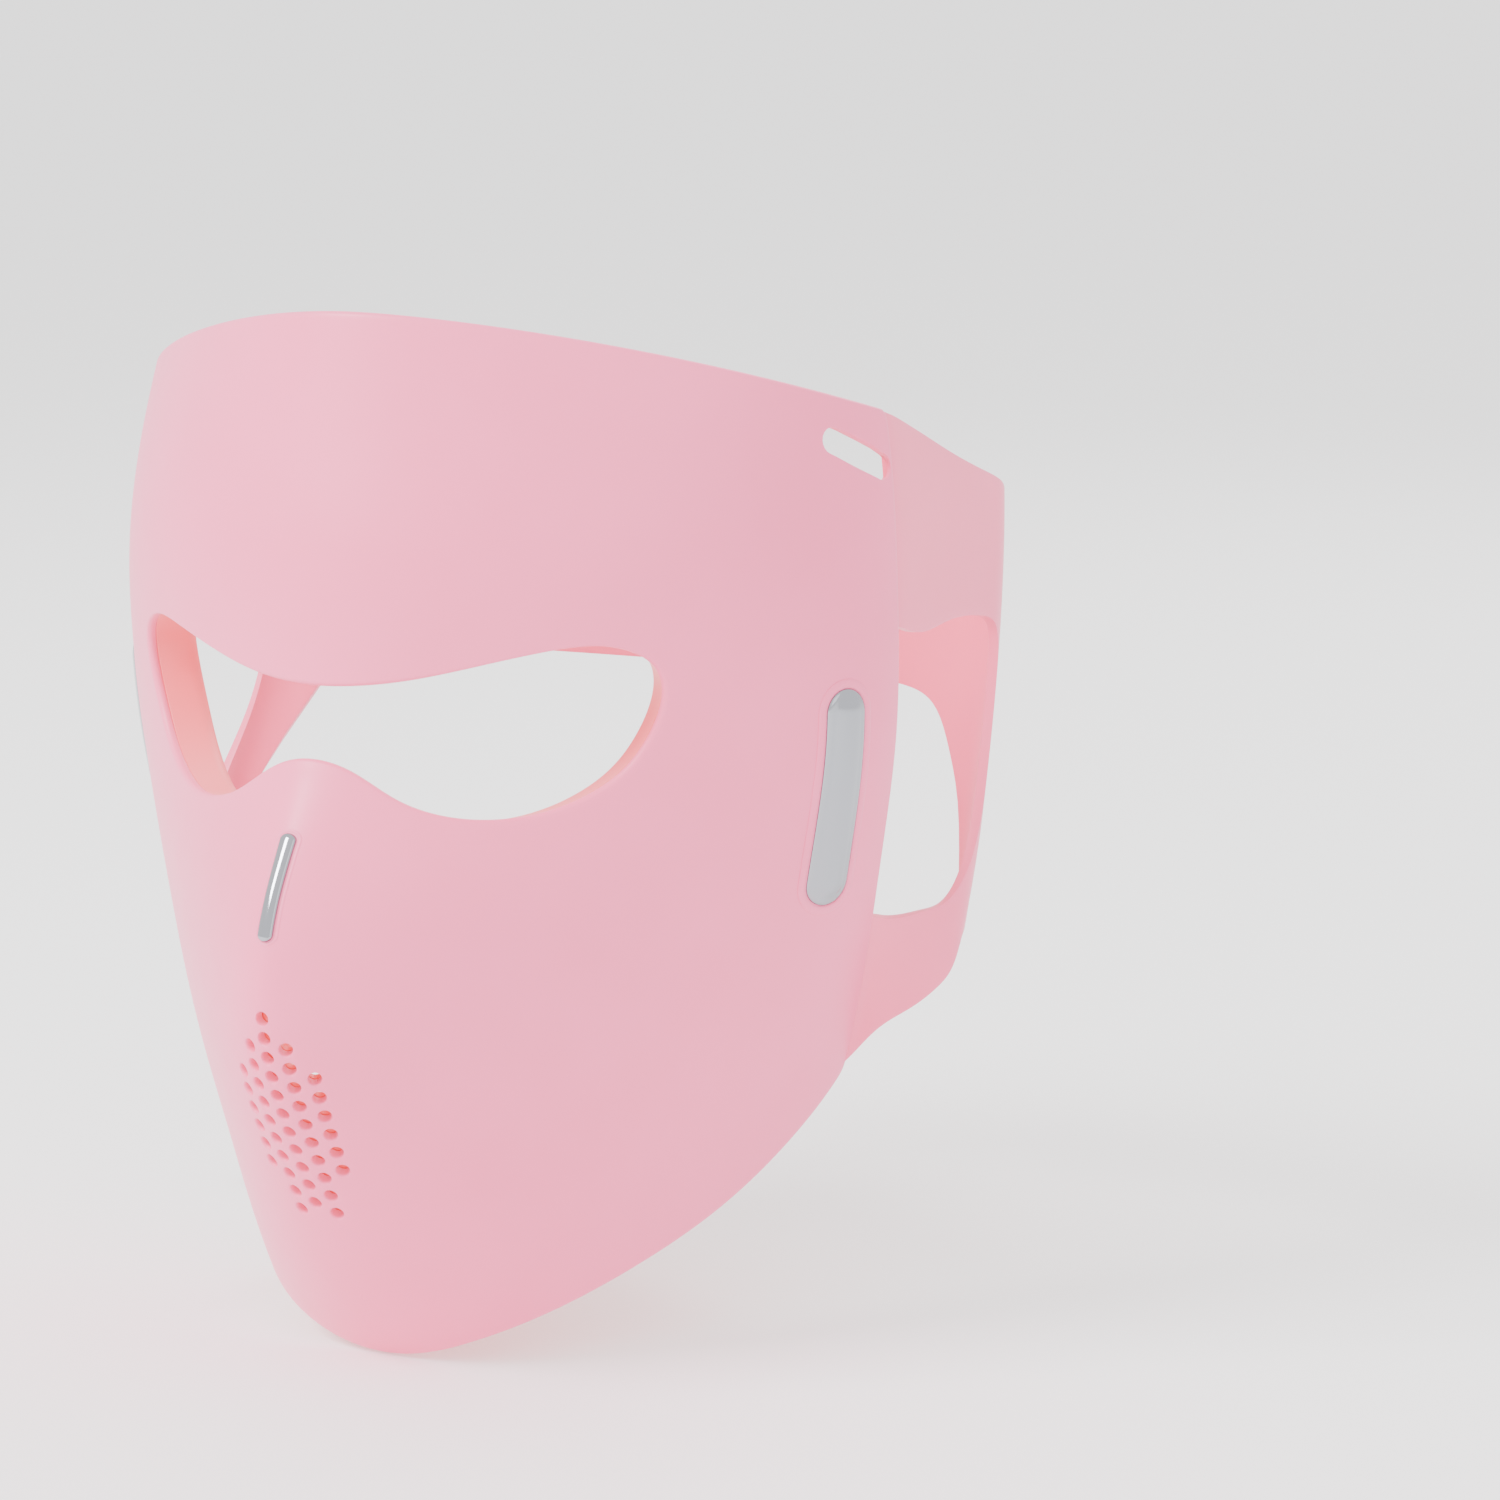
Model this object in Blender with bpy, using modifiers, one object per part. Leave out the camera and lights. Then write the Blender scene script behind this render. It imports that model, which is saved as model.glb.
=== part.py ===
import math

import bmesh
import bpy
import numpy as np
from mathutils import Matrix, Vector

# Lengths are in millimetres and are turned into metres where a mesh or a curve is made.
# +X is the wearer's left, -Y is the front, and the chin stands on z = 0.
MM = 0.001

FACE_HEIGHT = 235.0
FACE_DEPTH = 112.0
FACE_HALF_WIDTH = 96.5

SHELL_WALL = 2.4
LAYER_GAP = 0.6
PANEL_GAP = 1.6
NOSE_CLEARANCE = 4.0
TOUCH_GAP = 0.3

BOARD_WALL = 0.8
LED_SIDE = 5.0
LED_HEIGHT = 1.1
LENS_WALL = 1.5
LENS_GAP = 0.9
WINDOW_RADIUS = 4.4
WINDOW_MARGIN = 0.5
LATTICE_DOWN = (6.4, -9.5)
LATTICE_OUT = (10.8, 8.5)

RIM_WIDTH = 8.0
RIM_HEIGHT = 5.0
RIM_INSET = 5.2
CUSHION_WIDTH = 7.2
CUSHION_HEIGHT = 9.0
RIB_WIDTH = 4.4
RIB_HEIGHT = 4.2
RING_WIDTH = 3.4
RING_HALF_WIDTH = 16.0
RING_HALF_HEIGHT = 32.0

VENT_RADIUS = 1.5
VENT_PITCH = 4.5
VENT_COLUMN = 4.5
ISLAND_WALL = 1.6
ISLAND_GAP = 1.4

NOSE_TRIM_WIDTH = 3.2
NOSE_TRIM_LENGTH = 24.5
CHEEK_TRIM_WIDTH = 11.0
CHEEK_TRIM_LENGTH = 50.0
NOSE_TRIM_HEIGHT_SHARE = 0.486
CHEEK_TRIM_HEIGHT_SHARE = 0.546
CHEEK_TRIM_SPOT = 0.845
TRIM_PROUD = 0.8
TRIM_SEAT = 1.3

SLOT_LENGTH = 22.0
SLOT_WIDTH = 6.0
SLOT_SPOT = 0.9
SLOT_DROP = 11.5
SLOT_TILT = math.radians(22)

STRAP_WALL = 2.2
ROOT_GAP = 0.5
BEND_REACH = 13.0
BAND_DEPTH = 65.0
BAND_HEIGHT = 33.0
BAND_MIDDLE = 159.5
TAB_REACH = 71.0
UNDERLAP = 5.0
PAD_WALL = 0.8
PAD_HEIGHT = 20.0
TAB_SLACK = 0.7
PATCH_WALL = 1.2
PATCH_HEIGHT = 26.0
PATCH_REACH = 74.0

POST_HEAD_RADIUS = 2.6
POST_HEAD_HEIGHT = 1.3
POST_RADIUS = 1.3
POST_CLEARANCE = 0.4
POST_HEAD_GAP = 1.4

CORD_DIAMETER = 3.5
CORD_LIFT = 0.15
COIL_CENTRE = (-34.0, 26.0)
COIL_INNER_RADIUS = 15.5
COIL_LAYERS = 5
COIL_COLUMNS = 2
TURN_GAP = 0.1
TIE_WALL = 0.8
TIE_WIDTH = 8.0
GLAND_LENGTH = 15.0
GLAND_RADIUS = 5.5
GLAND_TIP_RADIUS = 2.9
GLAND_TOP = (-50.4, -21.8, 25.0)
GLAND_AIM = (0.0, 0.53, -0.85)

PLUG_START = (-72.0, 60.0)
GRIP_LENGTH = 26.0
GRIP_WIDTH = 15.5
GRIP_HEIGHT = 8.0
PLUG_WIDTH = 12.0
PLUG_HEIGHT = 4.5
PLUG_LENGTH = 12.0
PLUG_SHEET = 0.5

# Height, forward reach and half width, each as a share of its overall size, from the chin up.
FACE_SECTIONS = (
    (0.0, 0.559, 0.622),
    (0.094, 0.714, 0.684),
    (0.213, 0.867, 0.776),
    (0.357, 1.011, 0.884),
    (0.477, 0.974, 0.953),
    (0.596, 0.839, 1.0),
    (0.745, 0.813, 1.0),
    (0.872, 0.766, 0.975),
    (1.0, 0.711, 0.917),
)
# Height, how far the side edge is set back, how full the front and the side are, and the side's lean.
EDGE_SECTIONS = (
    (0.0, 0.2, 0.66, 0.42, 0.12),
    (0.255, 0.11, 0.34, 0.31, 0.06),
    (0.511, -0.006, 0.17, 0.33, -0.07),
    (0.766, -0.026, 0.44, 0.47, 0.1),
    (1.0, -0.03, 0.36, 0.33, 0.13),
)
# How far up the lower edge runs from the chin to the jaw's corner, as shares of the height.
LOWER_EDGE = (0.0, 0.02, 0.052, 0.0925, 0.153, 0.254)
# The right half of the eye opening, from the brow over the outer corner to the nose: (x, z) shares.
EYE_HALF = (
    (0.0, 0.662),
    (0.189, 0.668),
    (0.49, 0.6975),
    (0.612, 0.699),
    (0.661, 0.687),
    (0.642, 0.607),
    (0.593, 0.579),
    (0.466, 0.549),
    (0.208, 0.5625),
    (0.095, 0.589),
    (0.0, 0.5975),
)

shell_pink = ("silicone_pink", (0.92, 0.56, 0.66), 0.55, 0.0)
strap_pink = ("strap_pink", (0.9, 0.52, 0.62), 0.55, 0.0)
frame_coral = ("silicone_coral", (0.95, 0.32, 0.33), 0.5, 0.0)
lens_red = ("lens_red", (0.85, 0.1, 0.09), 0.3, 0.0)
board_red = ("board_red", (0.45, 0.04, 0.05), 0.5, 0.0)
leather_rose = ("leather_rose", (0.72, 0.32, 0.37), 0.7, 0.0)
pad_rose = ("pad_rose", (0.8, 0.45, 0.52), 0.9, 0.0)
chrome = ("chrome", (0.86, 0.87, 0.9), 0.08, 1.0)
cord_white = ("cord_white", (0.9, 0.89, 0.88), 0.45, 0.0)
plug_metal = ("plug_metal", (0.75, 0.76, 0.78), 0.25, 1.0)
tie_grey = ("tie_grey", (0.75, 0.75, 0.76), 0.6, 0.0)

for old in list(bpy.data.objects):
    bpy.data.objects.remove(old, do_unlink=True)

parts = bpy.data.collections.new("led_face_mask")
cutters = bpy.data.collections.new("cutters")
bpy.context.scene.collection.children.link(parts)
bpy.context.scene.collection.children.link(cutters)
materials = {}


def material(look):
    name, colour, roughness, metallic = look
    if name not in materials:
        made = bpy.data.materials.new(name)
        made.use_nodes = True
        shader = made.node_tree.nodes["Principled BSDF"]
        shader.inputs["Base Color"].default_value = (*colour, 1.0)
        shader.inputs["Roughness"].default_value = roughness
        shader.inputs["Metallic"].default_value = metallic
        materials[name] = made
    return materials[name]


def add_object(name, data, look, pivot=None):
    made = bpy.data.objects.new(name, data)
    data.materials.append(material(look))
    parts.objects.link(made)
    if pivot is not None:
        made.parent = pivot
        made.matrix_parent_inverse = pivot.matrix_world.inverted()
    return made


def add_mesh(name, points, faces, look, pivot=None):
    mesh = bpy.data.meshes.new(name)
    mesh.from_pydata((np.asarray(points, float) * MM).tolist(), [], faces)
    mesh.shade_smooth()
    mesh.set_sharp_from_angle(angle=math.radians(40))
    return add_object(name, mesh, look, pivot)


def finish_bmesh(name, shape, look, pivot=None):
    bmesh.ops.recalc_face_normals(shape, faces=shape.faces)
    mesh = bpy.data.meshes.new(name)
    shape.to_mesh(mesh)
    shape.free()
    mesh.shade_smooth()
    mesh.set_sharp_from_angle(angle=math.radians(40))
    return add_object(name, mesh, look, pivot)


def solidify(made, wall):
    change = made.modifiers.new("wall", "SOLIDIFY")
    change.thickness = wall * MM
    change.offset = -1.0


def boolean(made, other, operation="DIFFERENCE"):
    change = made.modifiers.new(other.name, "BOOLEAN")
    change.operation = operation
    change.object = other


def add_cutter(name, shape):
    bmesh.ops.recalc_face_normals(shape, faces=shape.faces)
    mesh = bpy.data.meshes.new(name)
    shape.to_mesh(mesh)
    shape.free()
    made = bpy.data.objects.new(name, mesh)
    made.hide_render = True
    made.display_type = "WIRE"
    cutters.objects.link(made)
    return made


def natural_spline(knots, values):
    knots = np.asarray(knots, float)
    values = np.asarray(values, float).reshape(len(knots), -1)
    steps = np.diff(knots)
    slopes = np.diff(values, axis=0) / steps[:, None]
    system = np.eye(len(knots))
    right = np.zeros_like(values)
    for i in range(1, len(knots) - 1):
        system[i, i - 1 : i + 2] = (steps[i - 1], 2 * (steps[i - 1] + steps[i]), steps[i])
        right[i] = 6 * (slopes[i] - slopes[i - 1])
    bends = np.linalg.solve(system, right)

    def at(where):
        where = np.asarray(where, float)
        i = np.clip(np.searchsorted(knots, where) - 1, 0, len(steps) - 1)
        step = steps[i][..., None]
        after = (where - knots[i])[..., None]
        before = step - after
        curved = (bends[i] * before**3 + bends[i + 1] * after**3) / (6 * step)
        low = (values[i] / step - bends[i] * step / 6) * before
        high = (values[i + 1] / step - bends[i + 1] * step / 6) * after
        return curved + low + high

    return at


def chord_lengths(points):
    return np.concatenate([[0.0], np.cumsum(np.linalg.norm(np.diff(points, axis=0), axis=1))])


def along(points, count):
    lengths = chord_lengths(points)
    wanted = np.linspace(0, lengths[-1], count)
    return np.stack([np.interp(wanted, lengths, column) for column in np.transpose(points)], 1)


def smooth_through(points, count):
    points = np.asarray(points, float)
    lengths = chord_lengths(points)
    dense = natural_spline(lengths, points)(np.linspace(0, lengths[-1], 20 * len(points)))
    return along(dense, count)


face_sections = np.array(FACE_SECTIONS)
edge_sections = np.array(EDGE_SECTIONS)
centre_and_width = natural_spline(
    face_sections[:, 0] * FACE_HEIGHT,
    face_sections[:, 1:] * [-FACE_DEPTH, FACE_HALF_WIDTH],
)
edge_shape = natural_spline(
    edge_sections[:, 0] * FACE_HEIGHT,
    edge_sections[:, 1:] * [FACE_DEPTH, 1, 1, 1],
)
lower_spots = np.linspace(-1, 1, 2 * len(LOWER_EDGE) - 1)
lower_heights = np.array(LOWER_EDGE[:0:-1] + LOWER_EDGE) * FACE_HEIGHT
lower_spline = natural_spline(lower_spots, lower_heights)


def lower_edge(t):
    return lower_spline(t)[..., 0]


def upper_edge(t):
    return FACE_HEIGHT * (1 - 0.144 * t**2 + 0.048 * t**4)


# A level section is two mirrored Bezier curves: t is 0 at the front and 1 or -1 at the side edge.
def face_point(t, z):
    t, z = np.broadcast_arrays(np.asarray(t, float), np.asarray(z, float))
    middle, half_width = np.moveaxis(centre_and_width(z), -1, 0)
    edge, front_full, side_full, lean = np.moveaxis(edge_shape(z), -1, 0)
    u = np.abs(t)
    depth = edge - middle
    weights = ((1 - u) ** 3, 3 * u * (1 - u) ** 2, 3 * u**2 * (1 - u), u**3)
    side_x = half_width - np.sin(lean) * side_full * depth
    side_y = edge - np.cos(lean) * side_full * depth
    x = weights[1] * front_full * half_width + weights[2] * side_x + weights[3] * half_width
    y = (weights[0] + weights[1]) * middle + weights[2] * side_y + weights[3] * edge
    return np.stack([np.sign(t) * x, y, z], -1)


def face_normal(t, z):
    across = face_point(t + 1e-3, z) - face_point(t - 1e-3, z)
    up = face_point(t, z + 0.2) - face_point(t, z - 0.2)
    normal = np.cross(across, up)
    return normal / np.linalg.norm(normal, axis=-1, keepdims=True)


def under_face(t, z, depth):
    return face_point(t, z) - face_normal(t, z) * depth


def t_of(x, z):
    x, z = np.broadcast_arrays(np.asarray(x, float), np.asarray(z, float))
    low = np.zeros_like(x)
    high = np.full_like(x, 1.05)
    for _ in range(30):
        middle = (low + high) / 2
        inside = face_point(middle, z)[..., 0] < np.abs(x)
        low = np.where(inside, middle, low)
        high = np.where(inside, high, middle)
    return np.sign(x) * low


def local_frame(t, z):
    origin = face_point(t, z)
    out = face_normal(t, z)
    up = face_point(t, z + 0.5) - face_point(t, z - 0.5)
    up -= out * np.dot(up, out)
    up /= np.linalg.norm(up)
    side = np.cross(up, out)
    frame = np.eye(4)
    frame[:3, 0] = side
    frame[:3, 1] = up
    frame[:3, 2] = out
    frame[:3, 3] = origin * MM
    return Matrix(frame.tolist())


def stadium(width, length, steps=6):
    radius = width / 2
    half = length / 2 - radius
    turns = np.linspace(0, math.pi, steps + 1)
    top = [(radius * math.cos(a), half + radius * math.sin(a)) for a in turns]
    return top + [(-x, -y) for x, y in top]


def polygon(radius, sides, turn=0.0):
    turns = [turn + 2 * math.pi * i / sides for i in range(sides)]
    return [(radius * math.cos(a), radius * math.sin(a)) for a in turns]


def add_prism(shape, outline, low, high, frame):
    floor = [shape.verts.new(frame @ (Vector((x, y, low)) * MM)) for x, y in outline]
    roof = [shape.verts.new(frame @ (Vector((x, y, high)) * MM)) for x, y in outline]
    shape.faces.new(floor[::-1])
    shape.faces.new(roof)
    for i in range(len(outline)):
        j = (i + 1) % len(outline)
        shape.faces.new((floor[i], floor[j], roof[j], roof[i]))


def slab(name, t, z, depth, wall, look):
    rows, columns = t.shape
    points = under_face(t, z, depth).reshape(-1, 3)
    faces = []
    for row in range(rows - 1):
        for column in range(columns - 1):
            a = row * columns + column
            faces.append((a, a + columns, a + columns + 1))
            faces.append((a, a + columns + 1, a + 1))
    made = add_mesh(name, points, faces, look)
    shape = bmesh.new()
    shape.from_mesh(made.data)
    middle = shape.faces[:][len(faces) // 2]
    if middle.normal.dot(Vector(face_normal(t[rows // 2, columns // 2], z[rows // 2, columns // 2]))) < 0:
        bmesh.ops.reverse_faces(shape, faces=shape.faces)
    shape.to_mesh(made.data)
    shape.free()
    solidify(made, wall)
    return made


# A strip that follows a path on the face: its profile is (across, depth) pairs, and share is how
# much of its width it has at each station.
def add_strip(shape, t, z, profile, closed, share=None):
    count = len(t)
    if share is None:
        share = np.ones(count)
    points = face_point(t, z)
    outward = face_normal(t, z)
    if closed:
        tangent = np.roll(points, -1, axis=0) - np.roll(points, 1, axis=0)
    else:
        tangent = np.gradient(points, axis=0)
    tangent /= np.linalg.norm(tangent, axis=1, keepdims=True)
    across = np.cross(outward, tangent)
    across *= share[:, None] / np.linalg.norm(across, axis=1, keepdims=True)
    rings = []
    for i in range(count):
        spots = [points[i] + across[i] * side - outward[i] * depth for side, depth in profile]
        rings.append([shape.verts.new(Vector(spot) * MM) for spot in spots])
    for i in range(count if closed else count - 1):
        first = rings[i]
        second = rings[(i + 1) % count]
        for j in range(len(profile)):
            k = (j + 1) % len(profile)
            shape.faces.new((first[j], second[j], second[k], first[k]))
    if not closed:
        shape.faces.new(rings[0])
        shape.faces.new(rings[-1][::-1])


def strip(name, t, z, profile, look, closed):
    shape = bmesh.new()
    add_strip(shape, t, z, profile, closed)
    return finish_bmesh(name, shape, look)


def eye_outline(count):
    half = np.array(EYE_HALF) * [FACE_HALF_WIDTH, FACE_HEIGHT]
    left = half[1:-1][::-1] * [-1, 1]
    wrapped = np.concatenate([left[-3:], half, left, half[:4]])
    lengths = chord_lengths(wrapped)
    start = lengths[3]
    stop = lengths[3 + len(half) + len(left)]
    spots = start + (stop - start) * np.arange(count) / count
    return natural_spline(lengths, wrapped)(spots)


# How far up and out the loop may go at the temples: its corner is cut to pass inside the slot.
def corner_limit(inset):
    cap = (SLOT_LENGTH - SLOT_WIDTH) / 2
    slot_height = upper_edge(SLOT_SPOT) - SLOT_DROP
    rise = math.sin(SLOT_TILT) - math.cos(SLOT_TILT)
    slot_corner = 1.4 * FACE_HALF_WIDTH * SLOT_SPOT + slot_height + cap * rise
    clear = SLOT_WIDTH / 2 + PANEL_GAP + RIM_WIDTH / 2 + inset - RIM_INSET
    return slot_corner - math.sqrt(2) * clear


# The loop that runs inside the shell's edge, as (t, z).
def edge_loop(inset, count):
    side = 1 - inset / (1.22 * FACE_HALF_WIDTH)
    across = np.linspace(-side, side, 61)
    slope = np.gradient(lower_edge(across), across) / (1.5 * FACE_HALF_WIDTH)
    low = lower_edge(across) + inset * np.sqrt(1 + slope**2)
    high = upper_edge(across) - inset
    up = np.linspace(0, 1, 31)[1:-1]
    right = low[-1] + (high[-1] - low[-1]) * up
    loop = np.concatenate([
        np.stack([across, low], 1),
        np.stack([np.full(29, side), right], 1),
        np.stack([across, high], 1)[::-1],
        np.stack([np.full(29, -side), right[::-1]], 1),
    ])
    scale = np.array([1.4 * FACE_HALF_WIDTH, 1.0])
    loop = loop * scale
    over = np.maximum(np.abs(loop[:, 0]) + loop[:, 1] - corner_limit(inset), 0.0) / 2
    loop -= np.stack([np.sign(loop[:, 0]) * over, over], 1)
    loop = along(np.concatenate([loop, loop[:1]]), 241)[:-1]
    for _ in range(10):
        loop = (np.roll(loop, 1, axis=0) + 2 * loop + np.roll(loop, -1, axis=0)) / 4
    return along(np.concatenate([loop, loop[:1]]), count + 1)[:-1] / scale


vent_middle = 0.272 * FACE_HEIGHT
first_vent = vent_middle + 5.1 * VENT_PITCH
vent_rows = {0: (0.0, 11), 1: (1.5, 10), 2: (3.0, 6)}
vent_places = []
for column in (-2, -1, 0, 1, 2):
    start_row, vent_count = vent_rows[abs(column)]
    for row in range(vent_count):
        height = first_vent - (start_row + row) * VENT_PITCH
        vent_places.append((float(t_of(column * VENT_COLUMN, height)), height))

shell_back = SHELL_WALL
layer_top = shell_back + LAYER_GAP
lens_top = layer_top + BOARD_WALL + LENS_GAP
lens_back = lens_top + LENS_WALL


def build_shell():
    t, v = np.meshgrid(np.linspace(-1, 1, 35), np.linspace(0, 1, 20), indexing="ij")
    z = lower_edge(t) * (1 - v) + upper_edge(t) * v
    shell = slab("outer_shell", t, z, 0.0, SHELL_WALL, shell_pink)
    eye = bmesh.new()
    toward_front = Matrix(((1, 0, 0, 0), (0, 0, -1, 0), (0, 1, 0, 0), (0, 0, 0, 1)))
    eye_depth = 0.2 * FACE_DEPTH
    add_prism(eye, eye_outline(48).tolist(), eye_depth, 1.3 * FACE_DEPTH, toward_front)
    boolean(shell, add_cutter("eye_cutter", eye))
    pockets = bmesh.new()
    add_trim_pockets(pockets)
    for side in (-1, 1):
        frame = local_frame(side * SLOT_SPOT, upper_edge(SLOT_SPOT) - SLOT_DROP)
        tilt = Matrix.Rotation(side * (-math.pi / 2 - SLOT_TILT), 4, "Z")
        outline = stadium(SLOT_WIDTH, SLOT_LENGTH, 4)
        add_prism(pockets, outline, -3 * SHELL_WALL, 3 * SHELL_WALL, frame @ tilt)
    boolean(shell, add_cutter("pocket_cutter", pockets))
    return shell


cheek_trim_height = CHEEK_TRIM_HEIGHT_SHARE * FACE_HEIGHT
trims = {
    "nose_trim": (0.0, NOSE_TRIM_HEIGHT_SHARE * FACE_HEIGHT, NOSE_TRIM_WIDTH, NOSE_TRIM_LENGTH),
    "cheek_trim_left": (CHEEK_TRIM_SPOT, cheek_trim_height, CHEEK_TRIM_WIDTH, CHEEK_TRIM_LENGTH),
    "cheek_trim_right": (-CHEEK_TRIM_SPOT, cheek_trim_height, CHEEK_TRIM_WIDTH, CHEEK_TRIM_LENGTH),
}


# A pill that bends with the face, upright at (t, middle).
def add_pill(shape, t, middle, width, length, profile):
    radius = width / 2
    turns = np.linspace(0.25, math.pi / 2, 4)
    bulge = length / 2 - radius + radius * np.cos(turns)
    reach = np.concatenate([-bulge, [0.0], bulge[::-1]])
    share = np.concatenate([np.sin(turns), [1.0], np.sin(turns[::-1])])
    rise = np.linalg.norm(face_point(t, middle + 1) - face_point(t, middle - 1)) / 2
    add_strip(shape, np.full(len(reach), t), middle + reach / rise, profile, False, share)


def add_trim_pockets(shape):
    for t, middle, width, length in trims.values():
        half = width / 2 + TOUCH_GAP
        profile = [(-half, TRIM_SEAT), (half, TRIM_SEAT), (half, -4 * SHELL_WALL), (-half, -4 * SHELL_WALL)]
        add_pill(shape, t, middle, width + 2 * TOUCH_GAP, length + 2 * TOUCH_GAP, profile)


def build_trims():
    for name, (t, middle, width, length) in trims.items():
        shape = bmesh.new()
        half = width / 2
        seat = TRIM_SEAT - TOUCH_GAP
        edge = 0.3 * half
        profile = [(-half, seat), (half, seat), (half, -0.3 * TRIM_PROUD), (half - edge, -TRIM_PROUD)]
        profile += [(edge - half, -TRIM_PROUD), (-half, -0.3 * TRIM_PROUD)]
        add_pill(shape, t, middle, width, length, profile)
        finish_bmesh(name, shape, chrome)


def vent_cutter():
    shape = bmesh.new()
    for t, z in vent_places:
        add_prism(shape, polygon(VENT_RADIUS, 4), -12.0, 4.0, local_frame(t, z))
    return add_cutter("vent_cutter", shape)


def build_vent_island():
    inner_width = RING_HALF_WIDTH - RING_WIDTH - ISLAND_GAP
    inner_height = RING_HALF_HEIGHT - RING_WIDTH - ISLAND_GAP
    v, u = np.meshgrid(np.linspace(-0.97, 0.97, 9), np.linspace(-1, 1, 5), indexing="ij")
    z = vent_middle + inner_height * v
    reach = inner_width * np.sqrt(1 - v**2)
    return slab("vent_island", t_of(reach * u, z), z, layer_top, ISLAND_WALL, frame_coral)


def build_frame():
    half = RIM_WIDTH / 2
    bottom = layer_top + RIM_HEIGHT
    rim = [(-half, layer_top), (half, layer_top), (half, bottom - 1.2), (half - 1.6, bottom)]
    rim += [(0.0, bottom - 0.9), (1.6 - half, bottom), (-half, bottom - 1.2)]
    loop = edge_loop(RIM_INSET, 64)
    strip("rim_frame", loop[:, 0], loop[:, 1], rim, frame_coral, True)

    outline = eye_outline(42)
    bottom = layer_top + CUSHION_HEIGHT
    cushion = [(0.5, layer_top), (0.5, bottom - 2.0), (1.8, bottom), (4.2, bottom - 0.6)]
    cushion += [(CUSHION_WIDTH, bottom - 3.6), (CUSHION_WIDTH, layer_top)]
    t = t_of(outline[:, 0], outline[:, 1])
    strip("eye_cushion", t, outline[:, 1], cushion, frame_coral, True)

    turns = np.linspace(0, 2 * math.pi, 29)[:-1]
    x = (RING_HALF_WIDTH - RING_WIDTH / 2) * np.sin(turns)
    z = vent_middle + (RING_HALF_HEIGHT - RING_WIDTH / 2) * np.cos(turns)
    half = RING_WIDTH / 2
    bottom = layer_top + RIB_HEIGHT
    ring = [(-half, layer_top), (half, layer_top), (half, bottom - 0.8), (0.0, bottom)]
    ring += [(-half, bottom - 0.8)]
    strip("vent_ring", t_of(x, z), z, ring, frame_coral, True)

    half = RIB_WIDTH / 2
    rib_top = layer_top + LAYER_GAP
    rib = [(-half, rib_top), (half, rib_top), (half, bottom - 0.8), (0.0, bottom)]
    rib += [(-half, bottom - 0.8)]
    brow = EYE_HALF[0][1] * FACE_HEIGHT + CUSHION_WIDTH + TOUCH_GAP
    bridge = EYE_HALF[-1][1] * FACE_HEIGHT - CUSHION_WIDTH - TOUCH_GAP
    rim_reach = RIM_INSET + RIM_WIDTH / 2 + TOUCH_GAP
    stretches = {
        "forehead_rib": (brow + 0.4, FACE_HEIGHT - rim_reach - 0.4),
        "nose_rib": (vent_middle + RING_HALF_HEIGHT + TOUCH_GAP + 0.4, bridge - 0.6),
        "chin_rib": (rim_reach + 2.2, vent_middle - RING_HALF_HEIGHT - TOUCH_GAP - 0.4),
    }
    for name, (low, high) in stretches.items():
        z = np.linspace(low, high, 6)
        strip(name, np.zeros(6), z, rib, frame_coral, False)


# The C-shaped panel round one eye, as (t, z) grids: along it from the brow to the chin, and
# across it from the eye cushion and the vent ring to the rim.
def panel_grid():
    outline = eye_outline(240)[:121]
    reach = CUSHION_WIDTH + PANEL_GAP
    tangent = np.gradient(outline, axis=0)
    tangent /= np.linalg.norm(tangent, axis=1, keepdims=True)
    outward = np.stack([-tangent[:, 1], tangent[:, 0]], 1)
    around_eye = outline + outward * reach
    clear = RIB_WIDTH / 2 + PANEL_GAP
    bridge_stop = around_eye[:, 1].argmin()
    upper = around_eye[(around_eye[:, 0] > clear) & (np.arange(121) <= bridge_stop)]
    ring_x = RING_HALF_WIDTH + PANEL_GAP
    ring_z = RING_HALF_HEIGHT + PANEL_GAP
    turns = np.linspace(0.32 * math.pi, 0.93 * math.pi, 14)
    round_ring = np.stack([ring_x * np.sin(turns), vent_middle + ring_z * np.cos(turns)], 1)
    nose_side = np.array([
        (clear + 1.6 * NOSE_CLEARANCE, 0.52 * FACE_HEIGHT),
        (clear + NOSE_CLEARANCE, 0.485 * FACE_HEIGHT),
        (clear + NOSE_CLEARANCE, 0.43 * FACE_HEIGHT),
    ])
    inner = np.concatenate([upper, nose_side, round_ring])
    inner = inner[inner[:, 0] >= clear]
    loop = edge_loop(RIM_INSET + RIM_WIDTH / 2 + PANEL_GAP, 480)
    t, z = loop.T
    keep = face_point(t, z)[:, 0] >= clear
    outer = loop[keep]
    outer = outer[np.argsort(-np.unwrap(np.arctan2(outer[:, 1] - 0.5 * FACE_HEIGHT, outer[:, 0] * 60)))]
    inner_t = np.stack([t_of(inner[:, 0], inner[:, 1]), inner[:, 1]], 1)
    return inner_t, outer


def panel_stations(count, across):
    inner, outer = panel_grid()
    scale = np.array([1.4 * FACE_HALF_WIDTH, 1.0])
    inner = along(inner * scale, count)
    outer = along(outer * scale, count)
    share = np.linspace(0, 1, across)[None, :, None]
    grid = (inner[:, None] * (1 - share) + outer[:, None] * share) / scale
    return grid[..., 0], grid[..., 1]


def distance_to(line, point):
    start = line[:-1]
    run = line[1:] - start
    share = ((point - start) * run).sum(1) / np.maximum((run**2).sum(1), 1e-9)
    near = start + np.clip(share, 0, 1)[:, None] * run
    return np.linalg.norm(near - point, axis=1).min()


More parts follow.
